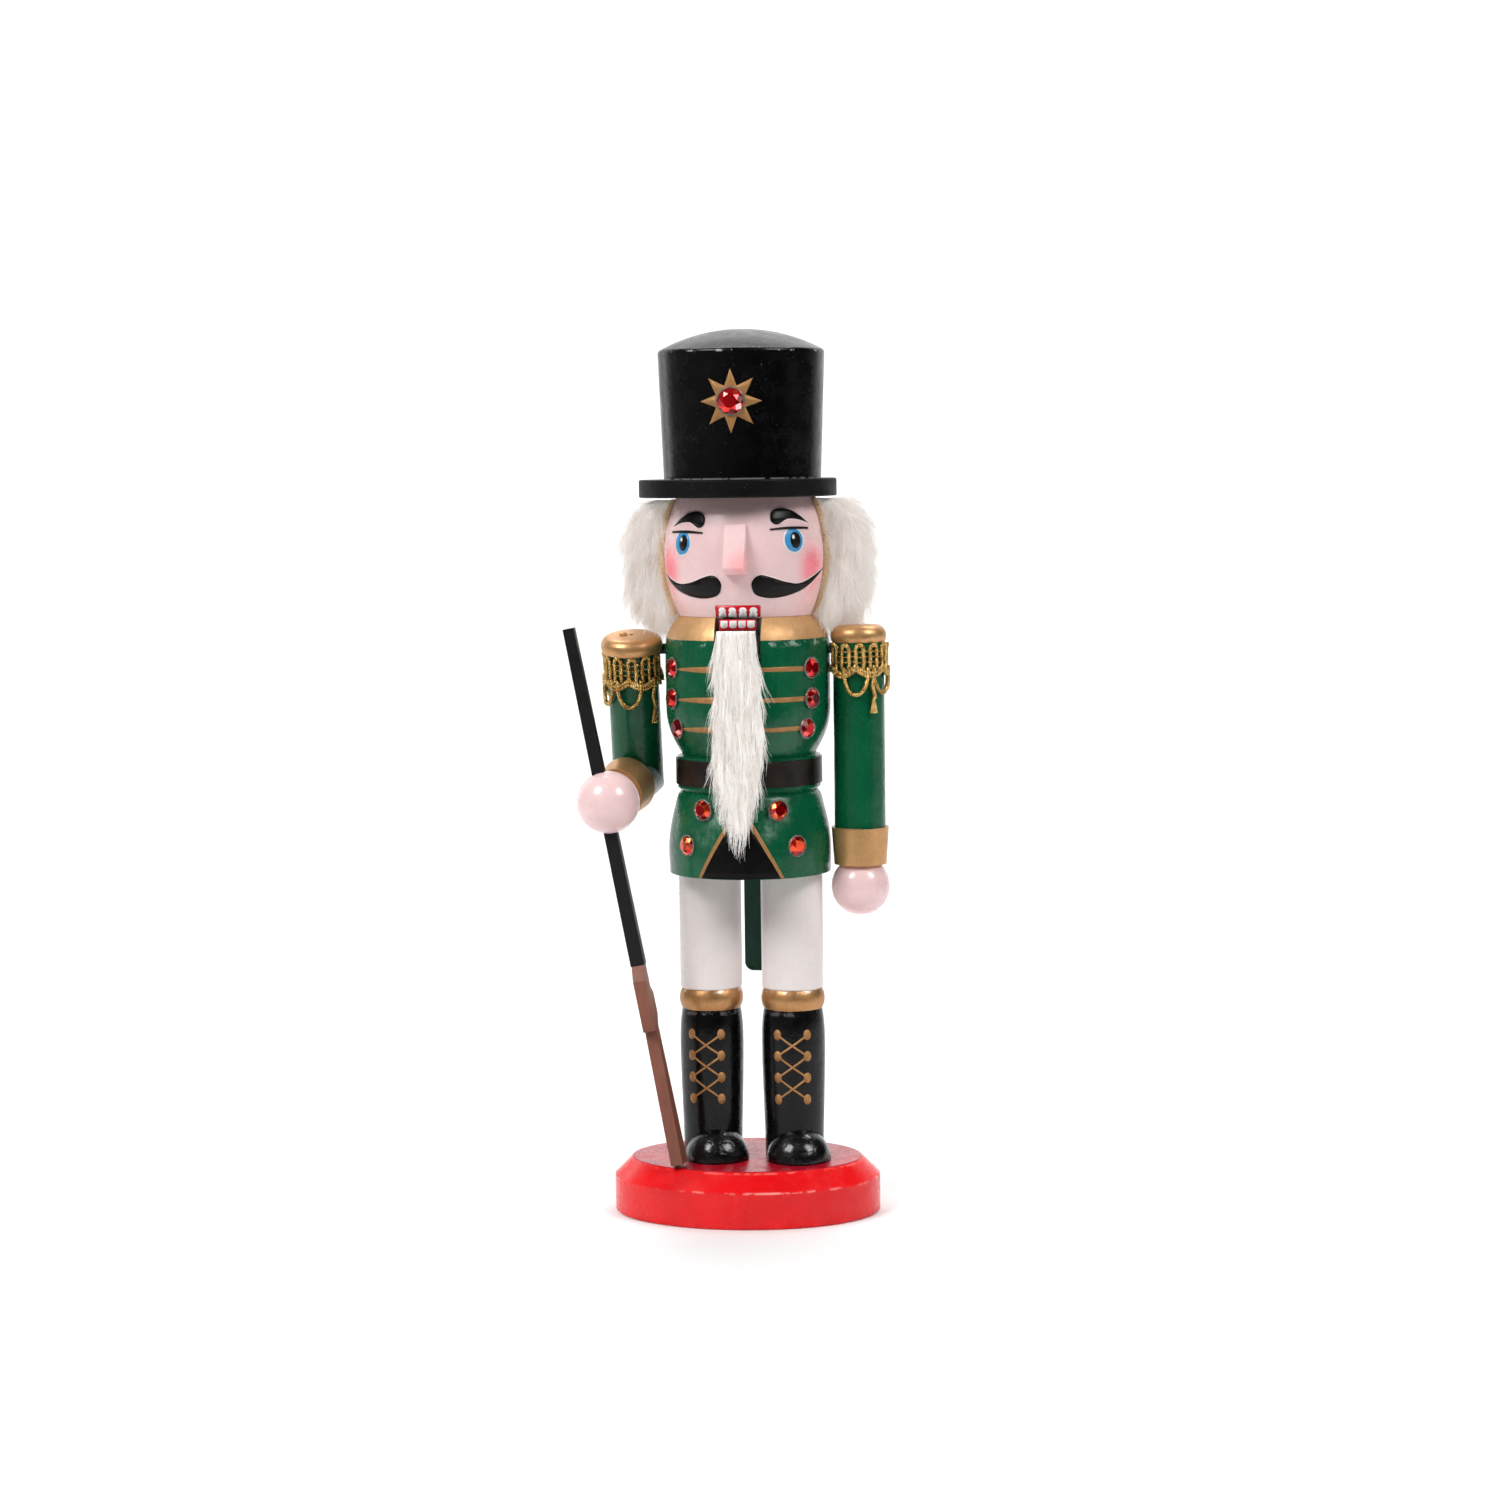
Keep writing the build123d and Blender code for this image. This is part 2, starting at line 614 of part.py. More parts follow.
with BuildPart() as left_hand:
    with Locations((LEFT_ARM_X, 0, LEFT_HAND_Z)):
        Sphere(HAND_R)
    split(bisect_by=Plane.XY.offset(LEFT_CUFF_LOW_Z), keep=Keep.BOTTOM)
    bore(LEFT_ARM_X, 0, LEFT_CUFF_LOW_Z - HAND_DOWEL_LENGTH / 2, LEFT_CUFF_LOW_Z, FINE_DOWEL_R)
write("left_hand", left_hand)

with BuildPart() as left_hand_dowel:
    rod(
        LEFT_ARM_X,
        0,
        LEFT_CUFF_LOW_Z - HAND_DOWEL_LENGTH / 2,
        LEFT_CUFF_LOW_Z + HAND_DOWEL_LENGTH / 2,
        FINE_DOWEL_R,
    )
write("left_hand_dowel", left_hand_dowel)

with BuildPart() as left_shoulder_dowel:
    side_bore(SHOULDER_DOWEL_IN, SHOULDER_DOWEL_OUT, 0, SHOULDER_DOWEL_Z, FINE_DOWEL_R, mode=Mode.ADD)
write("left_shoulder_dowel", left_shoulder_dowel)

# The right arm: its upper arm leans forward, its forearm points forward, outward and down.
lean = radians(ARM_LEAN)
out = radians(FOREARM_OUTWARD)
down = radians(FOREARM_DOWN)
elbow = Vector(*ELBOW)
upper_dir = Vector(0, -sin(lean), cos(lean))
fore_dir = Vector(-sin(out) * cos(down), -cos(out) * cos(down), -sin(down))
UPPER_ARM = Plane(origin=elbow, x_dir=(1, 0, 0), z_dir=upper_dir)
FOREARM = Plane(origin=elbow, x_dir=(1, 0, 0), z_dir=fore_dir)
MITRE = Plane(origin=elbow, z_dir=fore_dir - upper_dir)
right_cap_low = UPPER_ARM_LENGTH - RIGHT_CAP_HEIGHT
right_cap_centre = elbow + upper_dir * right_cap_low
RIGHT_CAP = Plane(origin=right_cap_centre, x_dir=(1, 0, 0), z_dir=Vector(1, 0, 0).cross(upper_dir))
hand_centre = elbow + fore_dir * FOREARM_TO_HAND
cuff_end = FOREARM_TO_HAND - (RIGHT_HAND_R**2 - (BALL_SEAT * CUFF_WIDE_R) ** 2) ** 0.5
cuff_start = cuff_end - CUFF_LENGTH

with BuildPart() as right_upper_arm:
    with BuildSketch(UPPER_ARM.offset(-2 * SLEEVE_R)):
        Circle(SLEEVE_R)
    extrude(amount=2 * SLEEVE_R + right_cap_low)
    split(bisect_by=MITRE, keep=Keep.BOTTOM)
    with BuildSketch(RIGHT_CAP):
        with BuildLine():
            turned_cap(RIGHT_CAP_R, 0, RIGHT_CAP_HEIGHT)
            Line((0, RIGHT_CAP_HEIGHT), (0, 0))
        make_face()
    revolve(axis=Axis(elbow, upper_dir))
    side_bore(-SHOULDER_DOWEL_OUT, -SHOULDER_DOWEL_IN, 0, SHOULDER_DOWEL_Z, FINE_DOWEL_R)
    with BuildSketch(MITRE.offset(-HAND_DOWEL_LENGTH / 2)):
        Circle(FINE_DOWEL_R)
    extrude(amount=HAND_DOWEL_LENGTH / 2, mode=Mode.SUBTRACT)
    with BuildSketch(UPPER_ARM.offset(UPPER_ARM_LENGTH - PEG_HOLE_DEPTH)):
        Circle(PEG_HOLE_R)
    extrude(amount=PEG_HOLE_DEPTH, mode=Mode.SUBTRACT)
write("right_upper_arm", right_upper_arm)

with BuildPart() as right_forearm:
    with BuildSketch(FOREARM.offset(-2 * SLEEVE_R)):
        Circle(SLEEVE_R)
    extrude(amount=2 * SLEEVE_R + cuff_start)
    split(bisect_by=MITRE, keep=Keep.TOP)
    with BuildSketch(FOREARM.offset(cuff_start)):
        Circle(CUFF_WIDE_R)
    with BuildSketch(FOREARM.offset(cuff_end)):
        Circle(CUFF_NARROW_R)
    loft()
    with BuildSketch(FOREARM.offset(cuff_end - HAND_DOWEL_LENGTH / 2)):
        Circle(FINE_DOWEL_R)
    extrude(amount=HAND_DOWEL_LENGTH / 2, mode=Mode.SUBTRACT)
    with BuildSketch(MITRE):
        Circle(FINE_DOWEL_R)
    extrude(amount=HAND_DOWEL_LENGTH / 2, mode=Mode.SUBTRACT)
write("right_forearm", right_forearm)

with BuildPart() as elbow_dowel:
    with BuildSketch(MITRE.offset(-HAND_DOWEL_LENGTH / 2)):
        Circle(FINE_DOWEL_R)
    extrude(amount=HAND_DOWEL_LENGTH)
write("elbow_dowel", elbow_dowel)

with BuildPart() as right_shoulder_dowel:
    side_bore(-SHOULDER_DOWEL_OUT, -SHOULDER_DOWEL_IN, 0, SHOULDER_DOWEL_Z, FINE_DOWEL_R, mode=Mode.ADD)
write("right_shoulder_dowel", right_shoulder_dowel)

# ---------------------------------------------------------------- rifle and the hand that holds it

butt = Vector(*RIFLE_BUTT)
muzzle = Vector(*RIFLE_TOP)
rifle_dir = (muzzle - butt).normalized()
rifle_back = (Vector(0, 1, 0) - rifle_dir * rifle_dir.Y).normalized()
RIFLE_SIDE = Plane(origin=butt, x_dir=rifle_back, z_dir=rifle_back.cross(rifle_dir))
half_barrel = BARREL_SIZE / 2
STOCK_THICK = 3.4
STOCK_TOP = 58.0
STOCK_STEP = 39.0
GUARD_LOW = 43.0
GUARD_HEIGHT = 8.0
STOCK_DEEP = 4.6

with BuildPart() as rifle:
    # Stock, side profile: across is the board's depth, up is along the barrel.
    with BuildSketch(RIFLE_SIDE.offset(-STOCK_THICK / 2)):
        with BuildLine():
            Polyline(
                (-STOCK_DEEP, 0.8),
                (3.4, 0.0),
                (3.6, 1.5),
                (half_barrel, GUARD_LOW - 3.0),
                (STOCK_DEEP, GUARD_LOW),
                (STOCK_DEEP, GUARD_LOW + GUARD_HEIGHT - 2.0),
                (half_barrel, GUARD_LOW + GUARD_HEIGHT),
                (half_barrel, STOCK_TOP),
                (-half_barrel, STOCK_TOP),
                (-STOCK_DEEP, STOCK_TOP - 4.0),
                (-STOCK_DEEP, STOCK_STEP + 0.6),
                (-half_barrel, STOCK_STEP),
                (-half_barrel - 0.2, STOCK_STEP - 2.0),
                close=True,
            )
        make_face()
    extrude(amount=STOCK_THICK)
    # Barrel, square in section, a little thicker than the stock and thinner towards the muzzle.
    with BuildSketch(Plane(origin=butt + rifle_dir * STOCK_TOP, x_dir=RIFLE_SIDE.x_dir, z_dir=rifle_dir)):
        Rectangle(BARREL_SIZE, BARREL_SIZE)
    with BuildSketch(Plane(origin=muzzle, x_dir=RIFLE_SIDE.x_dir, z_dir=rifle_dir)):
        Rectangle(MUZZLE_SIZE, MUZZLE_SIZE)
    loft()
    fillet(rifle.edges().sort_by(SortBy.LENGTH)[-4:], radius=0.3)
write("rifle", rifle)

with BuildPart() as right_hand:
    with Locations(hand_centre):
        Sphere(RIGHT_HAND_R)
    split(bisect_by=FOREARM.offset(cuff_end), keep=Keep.TOP)
    add(rifle.part, mode=Mode.SUBTRACT)
    with BuildSketch(FOREARM.offset(cuff_end)):
        Circle(FINE_DOWEL_R)
    extrude(amount=HAND_DOWEL_LENGTH / 3, mode=Mode.SUBTRACT)
write("right_hand", right_hand)

with BuildPart() as right_hand_dowel:
    with BuildSketch(FOREARM.offset(cuff_end - HAND_DOWEL_LENGTH / 2)):
        Circle(FINE_DOWEL_R)
    extrude(amount=HAND_DOWEL_LENGTH / 2 + HAND_DOWEL_LENGTH / 3)
write("right_hand_dowel", right_hand_dowel)

# ---------------------------------------------------------------- lace epaulettes

with BuildPart() as left_epaulette:
    with BuildSketch(Plane.XY.offset(LEFT_CAP_LOW_Z - LACE_DROP)):
        with Locations((LEFT_ARM_X, 0)):
            Circle(SLEEVE_R + LACE_THICK)
            Circle(SLEEVE_R, mode=Mode.SUBTRACT)
    extrude(amount=LACE_DROP)
    add(torso.part, mode=Mode.SUBTRACT)
    add(left_arm.part, mode=Mode.SUBTRACT)
    add(left_shoulder_dowel.part, mode=Mode.SUBTRACT)
write("left_epaulette", left_epaulette)

with BuildPart() as right_epaulette:
    with BuildSketch(UPPER_ARM.offset(right_cap_low - LACE_DROP)):
        Circle(SLEEVE_R + LACE_THICK)
        Circle(SLEEVE_R, mode=Mode.SUBTRACT)
    extrude(amount=LACE_DROP)
    add(torso.part, mode=Mode.SUBTRACT)
    add(right_upper_arm.part, mode=Mode.SUBTRACT)
    add(right_shoulder_dowel.part, mode=Mode.SUBTRACT)
write("right_epaulette", right_epaulette)

# ---------------------------------------------------------------- gems


def facet_gem(plane, radius, height):
    """A flat-backed faceted gem on a plane: low girdle, sloped facets and a flat table."""
    with BuildSketch(plane) as girdle:
        RegularPolygon(radius, GEM_SIDES)
    extrude(girdle.sketch, amount=GIRDLE_SHARE * height)
    with BuildSketch(plane.offset(GIRDLE_SHARE * height)) as crown_low:
        RegularPolygon(radius, GEM_SIDES)
    with BuildSketch(plane.offset(height)) as table:
        RegularPolygon(TABLE_SHARE * radius, GEM_SIDES)
    loft([crown_low.sketch, table.sketch])


def body_plane(angle, radius, z, centre_x=0.0):
    """Plane on a turned surface whose axis stands at centre_x: angle from the front towards +X."""
    a = radians(angle)
    return Plane(origin=(centre_x + radius * sin(a), -radius * cos(a), z), z_dir=(sin(a), -cos(a), 0))


def chest_radius(z):
    """Radius of the chest where it narrows towards the waist."""
    if z >= CHEST_FULL_Z:
        return CHEST_R
    return CHEST_R - CHEST_SLOPE * (CHEST_FULL_Z - z)


with BuildPart() as chest_gems:
    for side in (-1, 1):
        for angle, z in CHEST_GEM_PLACES:
            facet_gem(body_plane(side * angle, chest_radius(z), z), GEM_R, GEM_HEIGHT)
    add(torso.part, mode=Mode.SUBTRACT)
write("chest_gems", chest_gems)

with BuildPart() as skirt_gems:
    for side in (-1, 1):
        for angle, z in SKIRT_GEM_PLACES:
            skirt_r = SKIRT_BELLY_R - SKIRT_SLOPE * (z - SKIRT_BELLY_Z)
            facet_gem(body_plane(side * angle, skirt_r, z), GEM_R, GEM_HEIGHT)
    add(torso.part, mode=Mode.SUBTRACT)
write("skirt_gems", skirt_gems)

CROWN_FLARE = (CROWN_TOP_R - CROWN_LOW_R) / (CROWN_EDGE_Z - BRIM_TOP_Z)
CROWN_GEM_R = CROWN_LOW_R + CROWN_FLARE * (HAT_GEM_Z - BRIM_TOP_Z)

with BuildPart() as hat_gem:
    facet_gem(body_plane(0, CROWN_GEM_R - GEM_SINK, HAT_GEM_Z, CROWN_SHIFT_X), HAT_GEM_R, HAT_GEM_HEIGHT)
    add(hat_crown.part, mode=Mode.SUBTRACT)
write("hat_gem", hat_gem)
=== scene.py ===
"""Looks of the painted wooden nutcracker figure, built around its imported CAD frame. Metres throughout."""

import json
import random
from math import cos, pi, radians, sin

import bmesh
import bpy
from mathutils import Matrix, Vector, noise
from mathutils.bvhtree import BVHTree

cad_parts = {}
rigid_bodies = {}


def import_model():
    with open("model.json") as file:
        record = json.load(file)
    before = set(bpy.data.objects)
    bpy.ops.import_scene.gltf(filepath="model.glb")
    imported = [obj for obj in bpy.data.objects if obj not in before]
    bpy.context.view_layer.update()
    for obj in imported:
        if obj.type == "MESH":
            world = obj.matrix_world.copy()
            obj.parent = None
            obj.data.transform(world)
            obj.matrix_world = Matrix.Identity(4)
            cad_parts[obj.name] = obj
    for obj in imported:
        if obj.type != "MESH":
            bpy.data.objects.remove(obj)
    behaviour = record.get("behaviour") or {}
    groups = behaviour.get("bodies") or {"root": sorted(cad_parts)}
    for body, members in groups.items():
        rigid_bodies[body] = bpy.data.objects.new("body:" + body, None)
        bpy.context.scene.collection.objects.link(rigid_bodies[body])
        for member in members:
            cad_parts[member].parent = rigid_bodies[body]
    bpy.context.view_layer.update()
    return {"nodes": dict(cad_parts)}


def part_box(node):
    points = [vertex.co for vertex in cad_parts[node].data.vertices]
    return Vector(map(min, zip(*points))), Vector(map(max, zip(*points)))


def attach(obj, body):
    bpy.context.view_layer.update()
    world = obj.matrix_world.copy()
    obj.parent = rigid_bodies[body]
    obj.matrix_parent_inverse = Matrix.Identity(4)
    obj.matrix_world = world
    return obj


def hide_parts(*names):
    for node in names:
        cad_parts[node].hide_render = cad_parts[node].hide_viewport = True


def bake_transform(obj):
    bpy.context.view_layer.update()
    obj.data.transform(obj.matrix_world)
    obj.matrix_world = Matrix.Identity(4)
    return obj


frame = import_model()
nodes = frame["nodes"]
MM = 0.001


# ------------------------------------------------------------------ places read from the frame

def middle(node):
    """Centre of a CAD node's box."""
    low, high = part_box(node)
    return (low + high) / 2


def node_tree(node):
    """Ray-cast tree of a CAD node's surface."""
    mesh = nodes[node].data
    return BVHTree.FromPolygons([v.co for v in mesh.vertices], [p.vertices for p in mesh.polygons])


def islands(node):
    """The separate solids of one CAD node, each as a list of points."""
    bm = bmesh.new()
    bm.from_mesh(nodes[node].data)
    bmesh.ops.remove_doubles(bm, verts=bm.verts, dist=0.001 * MM)
    left = set(bm.verts)
    groups = []
    while left:
        stack = [left.pop()]
        group = []
        while stack:
            v = stack.pop()
            group.append(v.co.copy())
            for e in v.link_edges:
                w = e.other_vert(v)
                if w in left:
                    left.remove(w)
                    stack.append(w)
        groups.append(group)
    bm.free()
    return sorted(groups, key=lambda g: (round(g[0].x, 4), round(g[0].z, 4)))


def box_of(points):
    low = Vector(min(p[i] for p in points) for i in range(3))
    high = Vector(max(p[i] for p in points) for i in range(3))
    return low, high


HEAD_LOW_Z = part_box("head")[0].z
HEAD_TOP_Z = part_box("head")[1].z
TORSO_LOW_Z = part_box("torso")[0].z
TORSO_TOP_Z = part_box("torso")[1].z
CROWN_LOW, CROWN_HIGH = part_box("hat_crown")
CROWN_X = (CROWN_LOW.x + CROWN_HIGH.x) / 2
LEG_X = middle("left_leg").x
BASE_TOP_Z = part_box("base")[1].z

random.seed(7)


# ------------------------------------------------------------------ material helpers

def srgb(r, g, b):
    """A paint colour given as a 0-255 display value, in linear light."""
    def line(c):
        c /= 255.0
        return c / 12.92 if c <= 0.04045 else ((c + 0.055) / 1.055) ** 2.4
    return (line(r), line(g), line(b), 1.0)


class Recipe:
    """Short words for one material's nodes. Patterns sit on Object coordinates, in metres."""

    def __init__(self, name):
        self.mat = bpy.data.materials.new(name)
        self.mat.use_nodes = True
        self.tree = self.mat.node_tree
        self.tree.nodes.clear()
        self.out = self.tree.nodes.new("ShaderNodeOutputMaterial")
        self.shader = self.tree.nodes.new("ShaderNodeBsdfPrincipled")
        self.tree.links.new(self.shader.outputs[0], self.out.inputs[0])
        self.coords = self.tree.nodes.new("ShaderNodeTexCoord").outputs["Object"]

    def put(self, socket, value):
        if isinstance(value, bpy.types.NodeSocket):
            self.tree.links.new(value, socket)
        else:
            socket.default_value = value

    def shader_input(self, name, value):
        self.put(self.shader.inputs[name], value)

    def math(self, operation, a, b=0.0, c=0.0, clamp=False):
        node = self.tree.nodes.new("ShaderNodeMath")
        node.operation = operation
        node.use_clamp = clamp
        for socket, value in zip(node.inputs, (a, b, c)):
            self.put(socket, value)
        return node.outputs[0]

    def vector(self, operation, a, b=(0, 0, 0)):
        node = self.tree.nodes.new("ShaderNodeVectorMath")
        node.operation = operation
        self.put(node.inputs[0], a)
        self.put(node.inputs[1], b)
        return node.outputs["Value"] if operation in ("DOT_PRODUCT", "DISTANCE", "LENGTH") else node.outputs[0]

    def stretch(self, scale, move=(0, 0, 0)):
        node = self.tree.nodes.new("ShaderNodeMapping")
        self.put(node.inputs["Vector"], self.coords)
        node.inputs["Scale"].default_value = scale
        node.inputs["Location"].default_value = move
        return node.outputs[0]

    def noise(self, scale, detail=3.0, roughness=0.5, distortion=0.0, vector=None):
        node = self.tree.nodes.new("ShaderNodeTexNoise")
        self.put(node.inputs["Vector"], self.coords if vector is None else vector)
        node.inputs["Scale"].default_value = scale
        node.inputs["Detail"].default_value = detail
        node.inputs["Roughness"].default_value = roughness
        node.inputs["Distortion"].default_value = distortion
        return node.outputs["Fac"]

    def cells(self, scale, vector=None):
        node = self.tree.nodes.new("ShaderNodeTexVoronoi")
        self.put(node.inputs["Vector"], self.coords if vector is None else vector)
        node.inputs["Scale"].default_value = scale
        return node.outputs["Distance"]

    def range(self, value, low, high, to_low=0.0, to_high=1.0, smooth=False):
        node = self.tree.nodes.new("ShaderNodeMapRange")
        node.interpolation_type = "SMOOTHSTEP" if smooth else "LINEAR"
        for name, v in (("Value", value), ("From Min", low), ("From Max", high), ("To Min", to_low), ("To Max", to_high)):
            self.put(node.inputs[name], v)
        return node.outputs[0]

    def mix(self, share, a, b):
        node = self.tree.nodes.new("ShaderNodeMix")
        node.data_type = "RGBA"
        self.put(node.inputs[0], share)
        self.put(node.inputs[6], a)
        self.put(node.inputs[7], b)
        return node.outputs[2]

    def blend(self, share, a, b):
        node = self.tree.nodes.new("ShaderNodeMix")
        node.data_type = "FLOAT"
        self.put(node.inputs[0], share)
        self.put(node.inputs[2], a)
        self.put(node.inputs[3], b)
        return node.outputs[0]

    def bump(self, *layers):
        """layers are (height socket, depth in metres)."""
        normal = None
        for height, depth in layers:
            node = self.tree.nodes.new("ShaderNodeBump")
            node.inputs["Strength"].default_value = 1.0
            node.inputs["Distance"].default_value = depth
            self.put(node.inputs["Height"], height)
            if normal is not None:
                self.put(node.inputs["Normal"], normal)
            normal = node.outputs[0]
        self.put(self.shader.inputs["Normal"], normal)

    def axis(self, index):
        node = self.tree.nodes.new("ShaderNodeSeparateXYZ")
        self.put(node.inputs[0], self.coords)
        return node.outputs[index]

    def attribute(self, name):
        node = self.tree.nodes.new("ShaderNodeAttribute")
        node.attribute_name = name
        return node.outputs["Fac"]


# Paints: colour, darker tone where the coat is thin or pooled, metal, roughness.
GREEN = dict(colour=srgb(8, 92, 58), deep=srgb(4, 66, 42), metal=0.0, rough=0.24)
RED = dict(colour=srgb(232, 14, 20), deep=srgb(196, 8, 16), metal=0.0, rough=0.24)
BLACK = dict(colour=srgb(7, 7, 8), deep=srgb(3, 3, 4), metal=0.0, rough=0.24)
WHITE = dict(colour=srgb(234, 226, 224), deep=srgb(220, 210, 206), metal=0.0, rough=0.3)
SKIN = dict(colour=srgb(240, 207, 206), deep=srgb(232, 192, 195), metal=0.0, rough=0.27)
GOLD = dict(colour=srgb(190, 143, 95), deep=srgb(138, 94, 56), metal=0.7, rough=0.38)
ARM_GOLD = dict(colour=srgb(212, 164, 112), deep=srgb(160, 114, 70), metal=0.65, rough=0.38)
COLLAR_GOLD = dict(colour=srgb(220, 174, 122), deep=srgb(176, 130, 84), metal=0.45, rough=0.46)
MATT_GOLD = dict(colour=srgb(176, 130, 80), deep=srgb(150, 105, 62), metal=0.2, rough=0.5)
# The lever's green is darker than the coat's: painted shade for where it sits behind the figure.
LEVER_SHADE_GREEN = dict(colour=srgb(8, 58, 42), deep=srgb(5, 40, 30), metal=0.0, rough=0.3)
BROWN = dict(colour=srgb(134, 84, 68), deep=srgb(104, 60, 48), metal=0.0, rough=0.5)
MATT_BLACK = dict(colour=srgb(12, 12, 12), deep=srgb(6, 6, 6), metal=0.0, rough=0.5)


def enamel(name, bands, height=None, coat=0.05, gleam=0.3, grain=0.05, lump=0.012, tint=None, wobble=0.16):
    """Brushed enamel on turned wood.

    bands is (lowest paint, level, next paint, level, ...) going up along height, the levels in metres.
    tint(recipe, colour) may add a local colour. lump is how deep the brush marks stand, in mm.
    """
    r = Recipe(name)
    height = r.axis(2) if height is None else height(r)
    edge = r.math("MULTIPLY", r.math("SUBTRACT", r.noise(330, 3), 0.5), 2 * wobble * MM)
    along = r.math("ADD", height, edge)
    cloud = r.range(r.noise(70, 4, 0.6), 0.35, 0.7)
    streak = r.noise(1.0, 3, 0.6, vector=r.stretch((900, 900, 45)))
    flake = r.noise(3800, 2)

    def tone(paint):
        shade = r.mix(r.math("MULTIPLY", cloud, 0.55), paint["colour"], paint["deep"])
        shade = r.mix(r.range(streak, 0.45, 0.8, 0, grain * 4), shade, paint["deep"])
        if paint["metal"] > 0.4:
            bright = tuple(min(1, 1.5 * c) for c in paint["colour"][:3]) + (1,)
            shade = r.mix(r.range(flake, 0.5, 0.75, 0, 0.5), shade, bright)
        return shade

    colour = tone(bands[0])
    metal = bands[0]["metal"]
    rough = bands[0]["rough"]
    for level, paint in zip(bands[1::2], bands[2::2]):
        over = r.range(along, level - 0.03 * MM, level + 0.03 * MM)
        colour = r.mix(over, colour, tone(paint))
        metal = r.blend(over, metal, paint["metal"])
        rough = r.blend(over, rough, paint["rough"])
    if tint:
        colour = tint(r, colour)
    r.shader_input("Base Color", colour)
    r.shader_input("Metallic", metal)
    spread = r.range(r.noise(210, 3, 0.6), 0.3, 0.7, -0.05, 0.09)
    r.shader_input("Roughness", r.math("ADD", rough, spread, clamp=True))
    r.shader_input("Specular IOR Level", gleam)
    r.shader_input("Coat Weight", coat)
    r.shader_input("Coat Roughness", 0.12)
    r.bump(
        (r.noise(230, 3, 0.55), 1.6 * lump * MM * 6),
        (streak, lump * MM),
        (r.noise(1700, 2), 0.25 * lump * MM * 4),
        (r.range(r.cells(420), 0.0, 0.16, 1.0, 0.0), 0.8 * lump * MM),
    )
    return r.mat


def raw_wood(name):
    r = Recipe(name)
    rings = r.noise(1.0, 4, 0.6, 0.4, vector=r.stretch((700, 700, 60)))
    r.shader_input("Base Color", r.mix(rings, srgb(214, 178, 128), srgb(172, 128, 80)))
    r.shader_input("Roughness", r.range(rings, 0.3, 0.7, 0.6, 0.8))
    r.bump((rings, 0.05 * MM))
    return r.mat


def steel(name):
    r = Recipe(name)
    brushed = r.noise(1.0, 3, 0.6, vector=r.stretch((2500, 2500, 200)))
    r.shader_input("Base Color", r.mix(brushed, srgb(190, 190, 192), srgb(140, 140, 145)))
    r.shader_input("Metallic", 1.0)
    r.shader_input("Roughness", r.range(brushed, 0.3, 0.7, 0.25, 0.45))
    r.bump((brushed, 0.01 * MM))
    return r.mat


def strap(name):
    """Thin dark imitation leather with a fine pebble grain."""
    r = Recipe(name)
    pebble = r.cells(2100)
    worn = r.noise(160, 4, 0.6)
    r.shader_input("Base Color", r.mix(r.range(worn, 0.35, 0.7), srgb(16, 12, 11), srgb(40, 29, 22)))
    r.shader_input("Roughness", r.range(worn, 0.3, 0.7, 0.3, 0.46))
    r.shader_input("Specular IOR Level", 0.3)
    r.bump((pebble, 0.03 * MM), (worn, 0.02 * MM))
    return r.mat


def crystal(name):
    """Red foil-backed paste stone: each facet gets its own painted brightness, from deep red through bright red and
    orange to a near-white painted reflection.
    """
    r = Recipe(name)
    facet = r.attribute("facet")
    painted_light = r.mix(r.range(facet, 0.0, 0.45), srgb(96, 0, 12), srgb(214, 6, 24))
    painted_light = r.mix(r.range(facet, 0.45, 0.85), painted_light, srgb(255, 44, 28))
    # Near-white facets are painted reflections.
    painted_light = r.mix(r.range(facet, 0.88, 0.98), painted_light, srgb(255, 200, 196))
    ember = r.range(facet, 0.3, 0.75)
    painted_light = r.mix(r.math("MULTIPLY", r.attribute("warm"), ember), painted_light, srgb(255, 96, 24))
    depth = r.noise(900, 2, 0.5, 0.8)
    r.shader_input("Base Color", r.mix(r.range(depth, 0.5, 0.8, 0, 0.5), painted_light, srgb(90, 0, 10)))
    r.shader_input("Metallic", 0.7)
    r.shader_input("Roughness", r.range(depth, 0.3, 0.7, 0.06, 0.12))
    r.shader_input("Coat Weight", 0.45)
    r.shader_input("Coat Roughness", 0.03)
    return r.mat


def clear_glue(name):
    r = Recipe(name)
    ripple = r.noise(900, 3)
    r.shader_input("Base Color", r.mix(ripple, srgb(206, 210, 200), srgb(160, 168, 156)))
    r.shader_input("Transmission Weight", 0.75)
    r.shader_input("IOR", 1.47)
    r.shader_input("Roughness", r.range(ripple, 0.3, 0.7, 0.08, 0.25))
    r.bump((ripple, 0.06 * MM))
    return r.mat


def fur(name, light, dark, painted_light, fine=620, depth=0.5):
    """Synthetic fur: each strand has its own tone, with painted shade at the root and in the partings.

    The emission is a painted glow that stands in for the light passing through the pale fibres.
    """
    r = Recipe(name)
    tone = r.attribute("tone")
    root = r.attribute("reach")
    parting_shade = r.noise(1.0, 4, 0.65, 0.7, vector=r.stretch((fine, fine, 75)))
    colour = r.mix(r.math("MULTIPLY", tone, tone), light, dark)
    colour = r.mix(r.range(root, 0.0, 0.4, 0.25, 0.0), colour, dark)
    colour = r.mix(r.range(parting_shade, 0.48, 0.66, 0.0, depth), colour, dark)
    r.shader_input("Base Color", colour)
    r.shader_input("Roughness", r.range(tone, 0.0, 1.0, 0.45, 0.65))
    r.shader_input("Sheen Weight", 0.4)
    r.shader_input("Specular IOR Level", 0.35)
    r.shader_input("Emission Color", colour)
    r.shader_input("Emission Strength", painted_light)
    return r.mat


